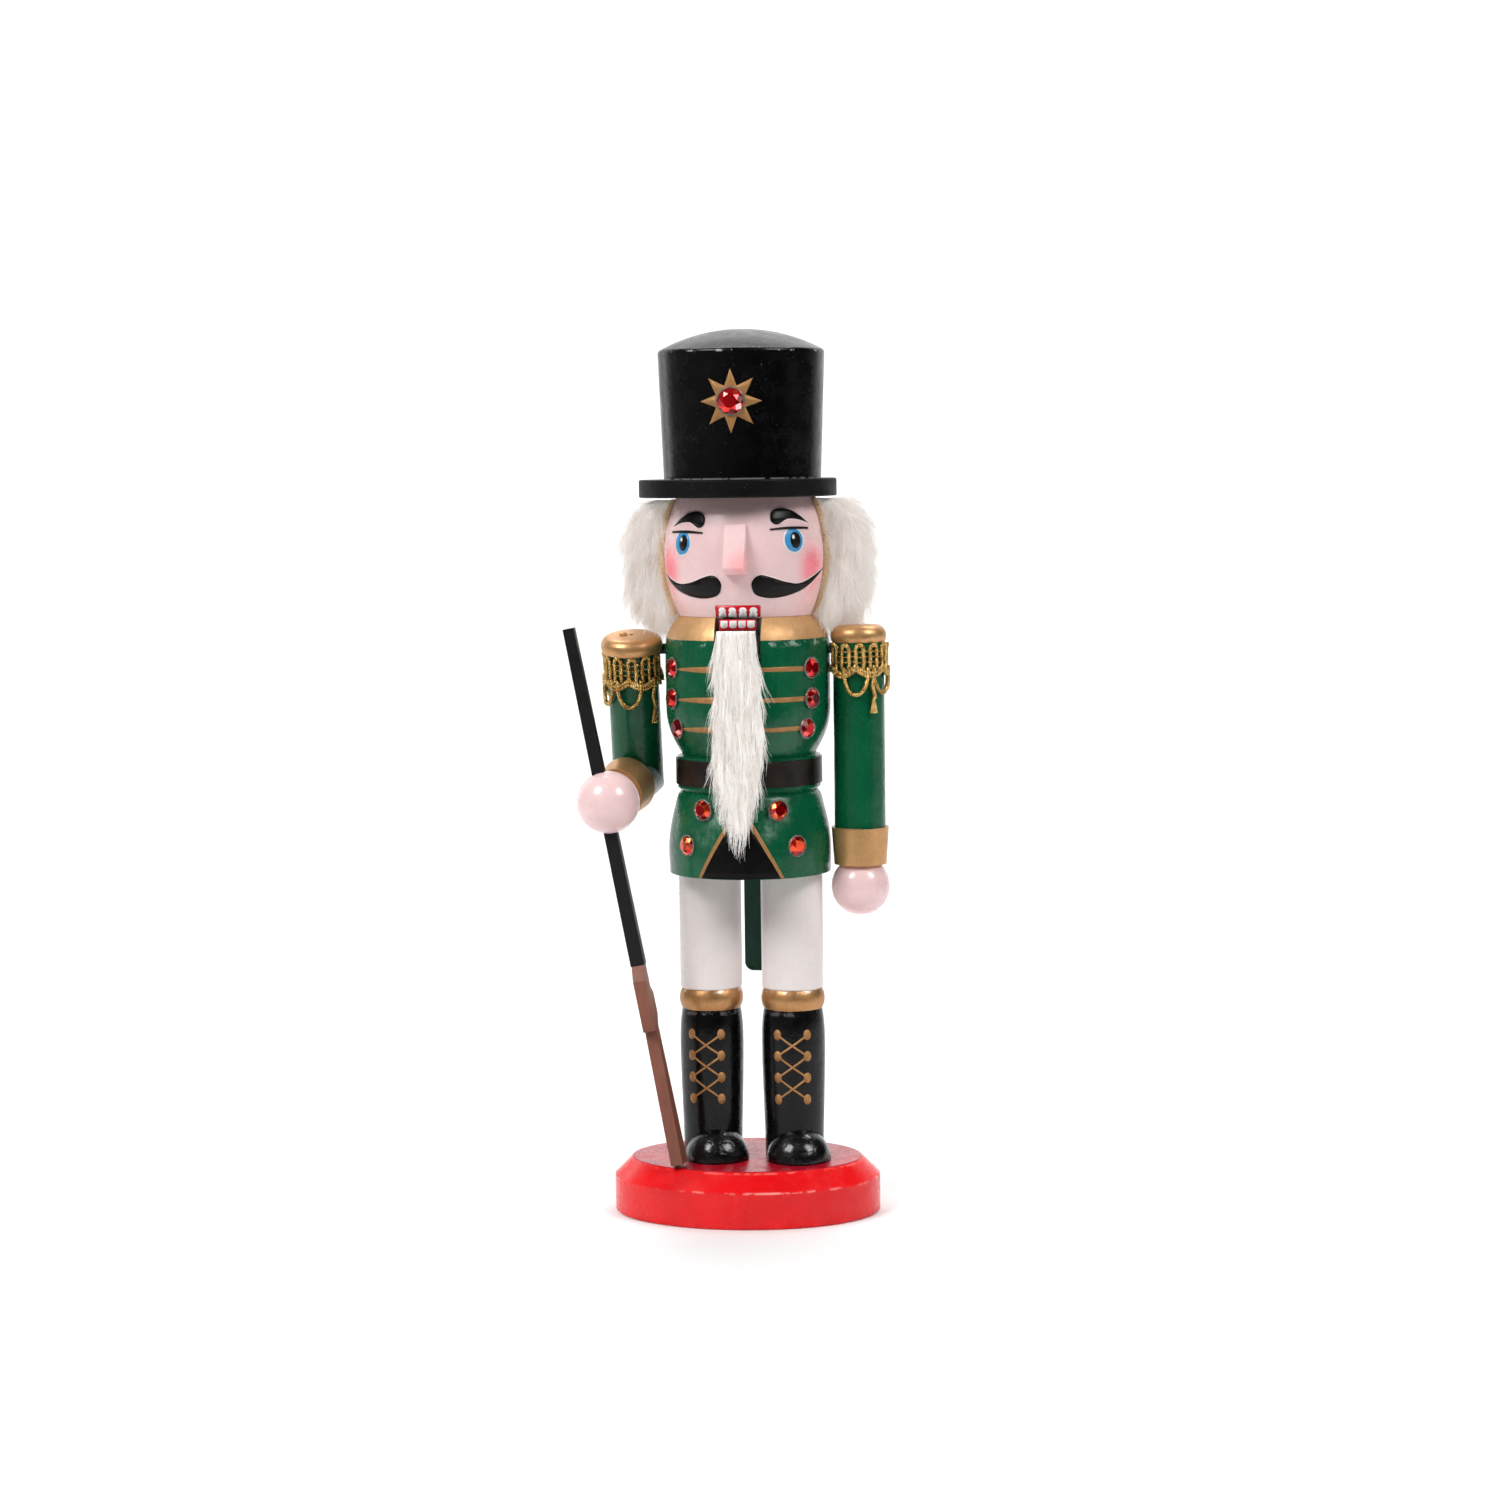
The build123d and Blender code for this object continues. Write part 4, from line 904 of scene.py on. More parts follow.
for leg, side, turn in (("left_leg", 1, 4.5), ("right_leg", -1, -3.2)):
    on_boot = laid_on(node_tree(leg), axis_x=side * LEG_X, radius=BOOT_R, outside=20 * MM)
    u_of = lambda k: arc_of(turn + k * LACE_HALF, BOOT_R)
    holes = [oval(u_of(k), z * MM, *EYELET, 20) for z in LACE_ROWS for k in (-1, 1)]
    crosses = [
        strip(Vector((u_of(k), high * MM)), Vector((u_of(-k), low * MM)), 0.55 * MM)
        for high, low in zip(LACE_ROWS, LACE_ROWS[1:]) for k in (-1, 1)
    ]
    paint_piece(f"{leg}_lacing_paint", crosses[0::2], on_boot, gold_mark, "root", "lace_gold", thick=0.05 * MM,
                rise=0.04 * MM, step=0.45 * MM)
    paint_piece(f"{leg}_lacing_cross_paint", crosses[1::2], on_boot, gold_mark, "root", "lace_gold", thick=0.05 * MM,
                rise=0.1 * MM, step=0.45 * MM)
    paint_piece(f"{leg}_eyelet_paint", holes, on_boot, gold_mark, "root", "lace_gold", rise=0.1 * MM)

# ------------------------------------------------------------------ hat star

crown_tree = node_tree("hat_crown")
on_crown = laid_on(crown_tree, axis_x=CROWN_X, radius=COAT_R)
STAR_POINTS = 8
STAR_R = 8.9 * MM
STAR_NOTCH_R = 4.5 * MM
gem_mid = middle("hat_gem")
star = [
    Vector((
        arc_of(0) + (STAR_R if k % 2 == 0 else STAR_NOTCH_R) * sin(k * pi / STAR_POINTS),
        gem_mid.z + (STAR_R if k % 2 == 0 else STAR_NOTCH_R) * cos(k * pi / STAR_POINTS),
    ))
    for k in range(2 * STAR_POINTS)
]
paint_piece("hat_star", [star], on_crown, gold_mark, "root", "lace_gold", thick=0.14 * MM)

# ------------------------------------------------------------------ stones and their glue

gem_red = crystal("red_paste_stone")
glue = clear_glue("clear_glue")


def brilliant(bm, centre, normal, radius, tall, spin):
    """Flat-backed round stone: table, star, kite and girdle facets."""
    up = Vector((0, 0, 1))
    across = up.cross(normal).normalized()
    up = normal.cross(across)

    def ring(count, r, height, offset):
        out = []
        for k in range(count):
            a = 2 * pi * (k + offset) / count + spin
            out.append(bm.verts.new(centre + across * r * cos(a) + up * r * sin(a) + normal * height))
        return out

    back = ring(16, 0.93 * radius, 0.0, 0)
    girdle = ring(16, radius, 0.22 * tall, 0)
    kite = ring(8, 0.8 * radius, 0.66 * tall, 0.5)
    table = ring(8, 0.54 * radius, tall, 0)
    faces = [bm.faces.new(table), bm.faces.new(back[::-1])]
    for k in range(16):
        faces.append(bm.faces.new([back[k], back[(k + 1) % 16], girdle[(k + 1) % 16], girdle[k]]))
    for k in range(8):
        nxt = (k + 1) % 8
        faces.append(bm.faces.new([table[k], kite[k], table[nxt]]))
        faces.append(bm.faces.new([kite[k - 1], girdle[2 * k], kite[k], table[k]]))
        faces.append(bm.faces.new([kite[k], girdle[2 * k], girdle[2 * k + 1]]))
        faces.append(bm.faces.new([kite[k], girdle[2 * k + 1], girdle[(2 * k + 2) % 16]]))
    bmesh.ops.recalc_face_normals(bm, faces=faces)


def glue_ring(bm, centre, normal, radius):
    """Uneven bead of glue squeezed out round a stone."""
    up = Vector((0, 0, 1))
    across = up.cross(normal).normalized()
    up = normal.cross(across)
    rings = []
    for k in range(32):
        a = 2 * pi * k / 32
        out = across * cos(a) + up * sin(a)
        swell = 1 + 0.35 * noise.noise(centre * 900 + out * 1.7)
        section = []
        for j in range(8):
            b = 2 * pi * j / 8
            section.append(bm.verts.new(
                centre + out * (radius + 0.30 * MM * swell * cos(b)) + normal * (0.14 * MM + 0.34 * MM * swell * sin(b))
            ))
        rings.append(section)
    faces = []
    for k in range(32):
        for j in range(8):
            a, b = rings[k], rings[(k + 1) % 32]
            faces.append(bm.faces.new([a[j], a[(j + 1) % 8], b[(j + 1) % 8], b[j]]))
    bmesh.ops.recalc_face_normals(bm, faces=faces)


def set_stones(node, axis_x, name, warm):
    """Cut stones in the places of a CAD node's plain ones."""
    stones, beads = bmesh.new(), bmesh.new()
    for points in islands(node):
        low, high = box_of(points)
        centre = (low + high) / 2
        normal = Vector((centre.x - axis_x, centre.y, 0)).normalized()
        radius = (high.z - low.z) / 2
        reach = [(p - centre).dot(normal) for p in points]
        seat = centre + normal * min(reach)
        tall = max(reach) - min(reach)
        brilliant(stones, seat, normal, radius, tall, random.uniform(0, pi / 8))
        glue_ring(beads, seat + normal * 0.15 * MM, normal, radius + 0.02 * MM)
    mesh = mesh_from(stones, name)
    facet = mesh.attributes.new("facet", "FLOAT", "FACE")
    facet.data.foreach_set("value", [random.random() for _ in mesh.polygons])
    ember = mesh.attributes.new("warm", "FLOAT", "FACE")
    ember.data.foreach_set("value", [warm] * len(mesh.polygons))
    obj = finish_piece(name, mesh, gem_red, "root", smooth=False)
    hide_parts(node)
    finish_piece(name + "_glue", mesh_from(beads, name + "_glue"), glue, "root")


set_stones("chest_gems", 0.0, "chest_stones", 0.1)
set_stones("skirt_gems", 0.0, "skirt_stones", 0.8)
set_stones("hat_gem", CROWN_X, "hat_stone", 0.0)


# ------------------------------------------------------------------ geometry node trees

class Tree:
    """Short words for one geometry node tree."""

    def __init__(self, name, inputs):
        self.tree = bpy.data.node_groups.new(name, "GeometryNodeTree")
        self.ids = {}
        self.tree.interface.new_socket("Geometry", in_out="INPUT", socket_type="NodeSocketGeometry")
        for label, kind in inputs:
            item = self.tree.interface.new_socket(label, in_out="INPUT", socket_type="NodeSocket" + kind)
            self.ids[label] = item.identifier
        self.tree.interface.new_socket("Geometry", in_out="OUTPUT", socket_type="NodeSocketGeometry")
        self.given = self.tree.nodes.new("NodeGroupInput").outputs
        self.out = self.tree.nodes.new("NodeGroupOutput")

    def node(self, kind, settings=None, **inputs):
        made = self.tree.nodes.new(kind)
        for key, value in (settings or {}).items():
            setattr(made, key, value)
        for key, value in inputs.items():
            self.join(made.inputs[int(key[1:]) if key[0] == "i" and key[1:].isdigit() else key.replace("_", " ")], value)
        return made

    def join(self, socket, value):
        if isinstance(value, bpy.types.Node):
            value = value.outputs[0]
        if isinstance(value, bpy.types.NodeSocket):
            self.tree.links.new(value, socket)
        else:
            socket.default_value = value

    def math(self, operation, a, b=0.0):
        return self.node("ShaderNodeMath", {"operation": operation}, i0=a, i1=b).outputs[0]

    def vector(self, operation, a, b=(0, 0, 0)):
        made = self.node("ShaderNodeVectorMath", {"operation": operation}, i0=a, i1=b)
        return made.outputs["Value"] if operation in ("DOT_PRODUCT", "LENGTH") else made.outputs[0]

    def scaled(self, vector, factor):
        made = self.node("ShaderNodeVectorMath", {"operation": "SCALE"}, i0=vector)
        self.join(made.inputs["Scale"], factor)
        return made.outputs[0]

    def finish(self, geometry):
        real = self.node("GeometryNodeRealizeInstances", Geometry=geometry)
        painted = self.node("GeometryNodeSetMaterial", Geometry=real, Material=self.given["Material"])
        self.join(self.out.inputs[0], painted)


def run_tree(tree, source, name, **values):
    """Run a tree on a source object and return its result as a plain mesh."""
    modifier = source.modifiers.new(name, "NODES")
    modifier.node_group = tree.tree
    for label, value in values.items():
        modifier[tree.ids[label.replace("_", " ")]] = value
    bpy.context.view_layer.update()
    evaluated = source.evaluated_get(bpy.context.evaluated_depsgraph_get())
    mesh = bpy.data.meshes.new_from_object(evaluated)
    source.modifiers.remove(modifier)
    mesh.name = name
    return mesh


def fur_tree():
    """Strands scattered on a surface, combed down along it, lifted, bent and tapered."""
    t = Tree("fur", [("Density", "Float"), ("Strand Length", "Float"), ("Strand Radius", "Float"), ("Lift", "Float"),
                     ("Mess", "Float"), ("Wave", "Float"), ("Comb", "Vector"), ("Seed", "Int"), ("Material", "Material")])
    g = t.given
    spread = t.node("GeometryNodeDistributePointsOnFaces", {"distribute_method": "RANDOM"}, Mesh=g["Geometry"],
                    Density=g["Density"], Seed=g["Seed"])
    normal = spread.outputs["Normal"]
    fall = t.vector("SUBTRACT", g["Comb"], t.scaled(normal, t.vector("DOT_PRODUCT", g["Comb"], normal)))
    clump = t.node("ShaderNodeTexNoise", i2=260.0)
    clump_off = t.vector("SUBTRACT", clump.outputs["Color"], (0.5, 0.5, 0.5))
    loose = t.node("FunctionNodeRandomValue", {"data_type": "FLOAT_VECTOR"}, i0=(-1, -1, -1), i1=(1, 1, 1), Seed=g["Seed"])
    aim = t.vector("ADD", t.vector("NORMALIZE", fall), t.scaled(normal, g["Lift"]))
    aim = t.vector("ADD", aim, t.scaled(clump_off, t.math("MULTIPLY", g["Mess"], 2.2)))
    aim = t.vector("ADD", aim, t.scaled(loose.outputs[0], t.math("MULTIPLY", g["Mess"], 0.45)))
    turn = t.node("FunctionNodeAlignRotationToVector", {"axis": "Z"}, Vector=aim)
    line = t.node("GeometryNodeCurvePrimitiveLine", Start=(0, 0, 0), End=(0, 0, 1))
    line = t.node("GeometryNodeResampleCurve", Curve=line, Count=5)
    size = t.node("FunctionNodeRandomValue", {"data_type": "FLOAT"}, i2=0.55, i3=1.25, Seed=t.math("ADD", g["Seed"], 3))
    tone = t.node("FunctionNodeRandomValue", {"data_type": "FLOAT"}, i2=0.0, i3=1.0, Seed=t.math("ADD", g["Seed"], 9))
    points = t.node("GeometryNodeStoreNamedAttribute", {"data_type": "FLOAT", "domain": "POINT"},
                    Geometry=spread.outputs["Points"], Name="tone", Value=tone.outputs[1])
    placed = t.node("GeometryNodeInstanceOnPoints", Points=points, Instance=line, Rotation=turn,
                    Scale=t.math("MULTIPLY", size.outputs[1], g["Strand Length"]))
    real = t.node("GeometryNodeRealizeInstances", Geometry=placed)
    reach = t.node("GeometryNodeSplineParameter").outputs["Factor"]
    place = t.node("GeometryNodeInputPosition").outputs[0]
    sway = t.node("ShaderNodeTexNoise", i0=place, i2=170.0)
    sway_off = t.vector("SUBTRACT", sway.outputs["Color"], (0.5, 0.5, 0.5))
    bend = t.math("MULTIPLY", t.math("MULTIPLY", reach, reach), g["Wave"])
    droop = t.scaled(g["Comb"], t.math("MULTIPLY", bend, 0.6))
    moved = t.node("GeometryNodeSetPosition", Geometry=real, Offset=t.vector("ADD", t.scaled(sway_off, t.math("MULTIPLY", bend, 4.0)), droop))
    width = t.math("MULTIPLY", t.math("SUBTRACT", 1.0, t.math("MULTIPLY", reach, 0.8)), g["Strand Radius"])
    sized = t.node("GeometryNodeSetCurveRadius", Curve=moved, Radius=width)
    kept = t.node("GeometryNodeStoreNamedAttribute", {"data_type": "FLOAT", "domain": "POINT"}, Geometry=sized,
                  Name="reach", Value=reach)
    ring = t.node("GeometryNodeCurvePrimitiveCircle", Resolution=3, Radius=1.0)
    tube = t.node("GeometryNodeCurveToMesh", Curve=kept, Profile_Curve=ring, Fill_Caps=True)
    if "Scale" in tube.inputs:
        radius = t.node("GeometryNodeInputRadius")
        t.join(tube.inputs["Scale"], radius)
    t.finish(tube)
    return t


def cord_tree():
    """Two plies twisted round a path."""
    t = Tree("twisted_cord", [("Ply Radius", "Float"), ("Pitch", "Float"), ("Step", "Float"), ("Material", "Material")])
    g = t.given
    path = t.node("GeometryNodeResampleCurve", {"mode": "LENGTH"}, Curve=g["Geometry"], Length=g["Step"])
    length = t.node("GeometryNodeSplineParameter").outputs["Length"]
    normal = t.node("GeometryNodeInputNormal").outputs[0]
    tangent = t.node("GeometryNodeInputTangent").outputs[0]
    side = t.vector("CROSS_PRODUCT", tangent, normal)
    marked = t.node("GeometryNodeStoreNamedAttribute", {"data_type": "FLOAT", "domain": "POINT"}, Geometry=path,
                    Name="along", Value=length)
    joined = t.node("GeometryNodeJoinGeometry")
    for ply in (0, 1):
        turn = t.math("ADD", t.math("MULTIPLY", t.math("DIVIDE", length, g["Pitch"]), 2 * pi), ply * pi)
        off = t.vector("ADD", t.scaled(normal, t.math("COSINE", turn)), t.scaled(side, t.math("SINE", turn)))
        wound = t.node("GeometryNodeSetPosition", Geometry=marked, Offset=t.scaled(off, g["Ply Radius"]))
        wound = t.node("GeometryNodeSetCurveRadius", Curve=wound, Radius=1.0)
        ring = t.node("GeometryNodeCurvePrimitiveCircle", Resolution=6, Radius=t.math("MULTIPLY", g["Ply Radius"], 1.08))
        tube = t.node("GeometryNodeCurveToMesh", Curve=wound, Profile_Curve=ring, Fill_Caps=True)
        t.tree.links.new(tube.outputs[0], joined.inputs[0])
    smooth = t.node("GeometryNodeSetShadeSmooth", Geometry=joined)
    t.finish(smooth)
    return t


FUR = fur_tree()
CORD = cord_tree()


def grow_fur(name, surface, material, body, **values):
    """Strands on an open surface mesh, which is then thrown away."""
    source = bpy.data.objects.new(name + "_scalp", surface)
    bpy.context.scene.collection.objects.link(source)
    mesh = run_tree(FUR, source, name, Material=material, **values)
    bpy.data.objects.remove(source)
    return finish_piece(name, mesh, material, body)


def paths_object(paths):
    """Poly curves through lists of points."""
    curve = bpy.data.curves.new("paths", "CURVE")
    curve.dimensions = "3D"
    for points in paths:
        spline = curve.splines.new("POLY")
        spline.points.add(len(points) - 1)
        for p, co in zip(spline.points, points):
            p.co = (*co, 1)
    obj = bpy.data.objects.new("paths", curve)
    bpy.context.scene.collection.objects.link(obj)
    return obj


# ------------------------------------------------------------------ hair

hair_fur = fur("hair_fur", srgb(255, 252, 249), srgb(218, 207, 198), 0.185)
HAIR_LOW, HAIR_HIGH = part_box("hair")
HAIR_EDGE = 80.5
HAIR_ROUNDING = 17.0
hair_tree = node_tree("hair")


def hair_radius(angle, z):
    """Outer radius of the fur's body, taken from the CAD solid and drawn in a little for the strands."""
    out = Vector((sin(radians(angle)), -cos(radians(angle)), 0))
    hit, _, _, _ = hair_tree.ray_cast(Vector((0, 0, z)) + out * 60 * MM, -out)
    return (hit.xy.length if hit is not None else 26 * MM) - 1.0 * MM


def head_radius(z):
    """Radius of the turned head, or of the neck seam just below it."""
    hit, _, _, _ = head_tree.ray_cast(Vector((0, -60 * MM, max(z, HEAD_LOW_Z + 0.1 * MM))), Vector((0, 1, 0)))
    return hit.xy.length


def hair_grid(first, last, columns, rows, inner=False, low_share=0.0, high_share=1.0):
    """Grid of points on the fur's body between two angles, or on the head under it.

    The body rises from the tape at the face in a full quarter round.
    """
    grid = []
    for i in range(columns + 1):
        angle = first + (last - first) * i / columns
        past = min(angle, 360 - angle) - HAIR_EDGE
        rise = (1 - (1 - min(1.0, past / HAIR_ROUNDING)) ** 2) ** 0.5
        column = []
        for j in range(rows + 1):
            share = low_share + (high_share - low_share) * j / rows
            z = HAIR_LOW.z + 0.25 * MM + (HAIR_HIGH.z - HAIR_LOW.z - 0.5 * MM) * share
            low = head_radius(z) - 0.4 * MM
            full = hair_radius(max(past, 2.0) + HAIR_EDGE, z)
            lock = 0.9 * MM * noise.noise(Vector((angle * 0.13, z * 45, 3.0)))
            lock += 0.4 * MM * noise.noise(Vector((angle * 0.5, z * 90, 8.0)))
            radius = low if inner else low + 0.7 * MM + (full - low - 0.7 * MM + lock) * rise
            column.append(around(angle, radius, z))
        grid.append(column)
    return grid


def sheet_mesh(grid, name):
    bm = bmesh.new()
    rows = [[bm.verts.new(p) for p in column] for column in grid]
    for a, b in zip(rows, rows[1:]):
        for j in range(len(a) - 1):
            bm.faces.new([a[j], b[j], b[j + 1], a[j + 1]])
    return mesh_from(bm, name)


def closed_sheet(outer, inner, name):
    """Closed solid between two grids of the same size."""
    bm = bmesh.new()
    a = [[bm.verts.new(p) for p in column] for column in outer]
    b = [[bm.verts.new(p) for p in column] for column in inner]
    n, m = len(a), len(a[0])
    for i in range(n - 1):
        for j in range(m - 1):
            bm.faces.new([a[i][j], a[i + 1][j], a[i + 1][j + 1], a[i][j + 1]])
            bm.faces.new([b[i][j], b[i][j + 1], b[i + 1][j + 1], b[i + 1][j]])
    for i in range(n - 1):
        bm.faces.new([a[i][0], b[i][0], b[i + 1][0], a[i + 1][0]])
        bm.faces.new([a[i][-1], a[i + 1][-1], b[i + 1][-1], b[i][-1]])
    for j in range(m - 1):
        bm.faces.new([a[0][j], a[0][j + 1], b[0][j + 1], b[0][j]])
        bm.faces.new([a[-1][j], b[-1][j], b[-1][j + 1], a[-1][j + 1]])
    bmesh.ops.recalc_face_normals(bm, faces=bm.faces[:])
    return mesh_from(bm, name)


hair_core = finish_piece(
    "hair_core",
    closed_sheet(hair_grid(HAIR_EDGE, 360 - HAIR_EDGE, 120, 24), hair_grid(HAIR_EDGE, 360 - HAIR_EDGE, 120, 24, True), "hair_core"),
    hair_fur, "root",
)
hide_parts("hair")
# The fur is clipped short above the lever, so that the lever's tail can swing up when the jaw opens.
# Name, first and last angle, lowest and highest share of the height, strand length in mm.
HAIR_PARTS = (
    ("left", HAIR_EDGE, 120.0, 0.0, 1.0, 7.0),
    ("back_left", 120.0, 158.0, 0.0, 1.0, 7.0),
    ("back", 158.0, 202.0, 0.28, 1.0, 6.5),
    ("back_clipped", 158.0, 202.0, 0.0, 0.28, 1.6),
    ("back_right", 202.0, 240.0, 0.0, 1.0, 7.0),
    ("right", 240.0, 360.0 - HAIR_EDGE, 0.0, 1.0, 7.0),
)
for seed, (part, first, last, low, high, length) in enumerate(HAIR_PARTS, 1):
    scalp = sheet_mesh(hair_grid(first, last, 40, 24, low_share=low, high_share=high), f"{part}_scalp")
    grow_fur(f"hair_{part}", scalp, hair_fur, "root", Density=5.4e6, Strand_Length=length * MM, Strand_Radius=0.065 * MM,
             Lift=0.34, Mess=0.62, Wave=0.4 * length * MM, Comb=(0.0, 0.3, -1.0), Seed=seed)

tape = fur_backing("fur_backing_tape")
tan_fur = fur("tan_fuzz", srgb(252, 230, 196), srgb(220, 182, 136), 0.08)
for label, side in (("left", 1), ("right", -1)):
    outer, inner = [], []
    for i in range(7):
        angle = side * (HAIR_EDGE - 5.6 + i)
        column_out, column_in = [], []
        for j in range(41):
            z = HEAD_LOW_Z + 0.5 * MM + (HEAD_TOP_Z - HEAD_LOW_Z - 1.0 * MM) * j / 40
            base_point, out = on_face(arc_of(angle), z)
            ragged = 0.3 * MM * noise.noise(Vector((angle * 3, z * 1900, side)))
            full = 1.0 - abs(i - 3.2) / 3.4
            column_out.append(base_point + out * (0.12 * MM + 0.95 * MM * full**0.5 + ragged * full))
            column_in.append(base_point - out * 0.1 * MM)
        outer.append(column_out)
        inner.append(column_in)
    finish_piece(f"{label}_hair_tape", closed_sheet(outer, inner, f"{label}_hair_tape"), tape, "root")
    fuzz = sheet_mesh(outer if side > 0 else outer[::-1], f"{label}_fuzz_scalp")
    grow_fur(f"{label}_tape_fuzz", fuzz, tan_fur, "root", Density=1.8e7, Strand_Length=1.2 * MM, Strand_Radius=0.05 * MM,
             Lift=0.7, Mess=0.8, Wave=0.4 * MM, Comb=(0.0, 0.6, -0.6), Seed=20 + side)

# ------------------------------------------------------------------ beard

beard_fur = fur("beard_fur", srgb(255, 254, 252), srgb(192, 182, 174), 0.33, 1300, 0.8)
BEARD_LOW, BEARD_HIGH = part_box("beard")
BEARD_BACK_Y = -23.55 * MM
BEARD_WIDTHS = ((166.6, 5.5), (159, 5.7), (152.6, 6.1), (146, 6.4), (139.7, 6.5), (133, 6.4), (127, 6.0), (123, 5.0),
                (120, 3.9), (117, 2.7), (114, 2.0), (110.8, 1.4), (106.7, 0.5))


def beard_half(z):
    """Half width of the beard at a height."""
    for (high, wide), (low, thin) in zip(BEARD_WIDTHS, BEARD_WIDTHS[1:]):
        if z >= low * MM:
            return (thin + (wide - thin) * (z - low * MM) / ((high - low) * MM)) * MM
    return BEARD_WIDTHS[-1][1] * MM


def beard_grid(front, low_share):
    grid = []
    for i in range(33):
        side = -1 + i / 16
        column = []
        for j in range(61):
            share = low_share + (1 - low_share) * j / 60
            z = BEARD_LOW.z + (BEARD_HIGH.z - BEARD_LOW.z) * share
            half = beard_half(z)
            groove = noise.noise(Vector((side * half * 700, z * 30, 1.0))) * min(1.0, 3 * share)
            x = side * half + 0.6 * MM * noise.noise(Vector((0, 0, z * 90)))
            x += 0.5 * MM * side * noise.noise(Vector((side * 2, z * 220, 5.0)))
            deep = (0.5 + 1.5 * min(1.0, share * 2) + 0.75 * groove) * MM * (1 - side * side) ** 0.5 if front else 0.0
            column.append(Vector((x, BEARD_BACK_Y - 0.15 * MM - deep, z)))
        grid.append(column)
    return grid


front_grid = beard_grid(True, 0.09)
back_grid = beard_grid(False, 0.09)
back_grid[0] = [p + Vector((0.05 * MM, 0.1 * MM, 0)) for p in back_grid[0]]
back_grid[-1] = [p + Vector((-0.05 * MM, 0.1 * MM, 0)) for p in back_grid[-1]]
back_grid = [[p + Vector((0, 0.1 * MM, 0)) for p in column] for column in back_grid]
beard_core = finish_piece("beard_core", closed_sheet(front_grid, back_grid, "beard_core"), beard_fur, None)
beard_strands = grow_fur("beard_strands", sheet_mesh(beard_grid(True, 0.14), "beard_scalp"), beard_fur, None, Density=5.6e6,
                         Strand_Length=9.5 * MM, Strand_Radius=0.085 * MM, Lift=0.08, Mess=0.16, Wave=1.9 * MM,
                         Comb=(0.0, 0.0, -1.0), Seed=5)
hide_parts("beard")
for piece in (beard_core, beard_strands):
    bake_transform(piece)

# ------------------------------------------------------------------ gold lace epaulettes

cord_gold = gold_cord("gold_lace_cord")
CORD_PLY = 0.32 * MM
LACE_R = 7.2 * MM + 2 * CORD_PLY
LACE_TOP = 0.6 * MM
LACE_BAND = 7.4 * MM
COLUMNS = 24
SCALLOPS = 6
LOOP_DROP = 7.0 * MM


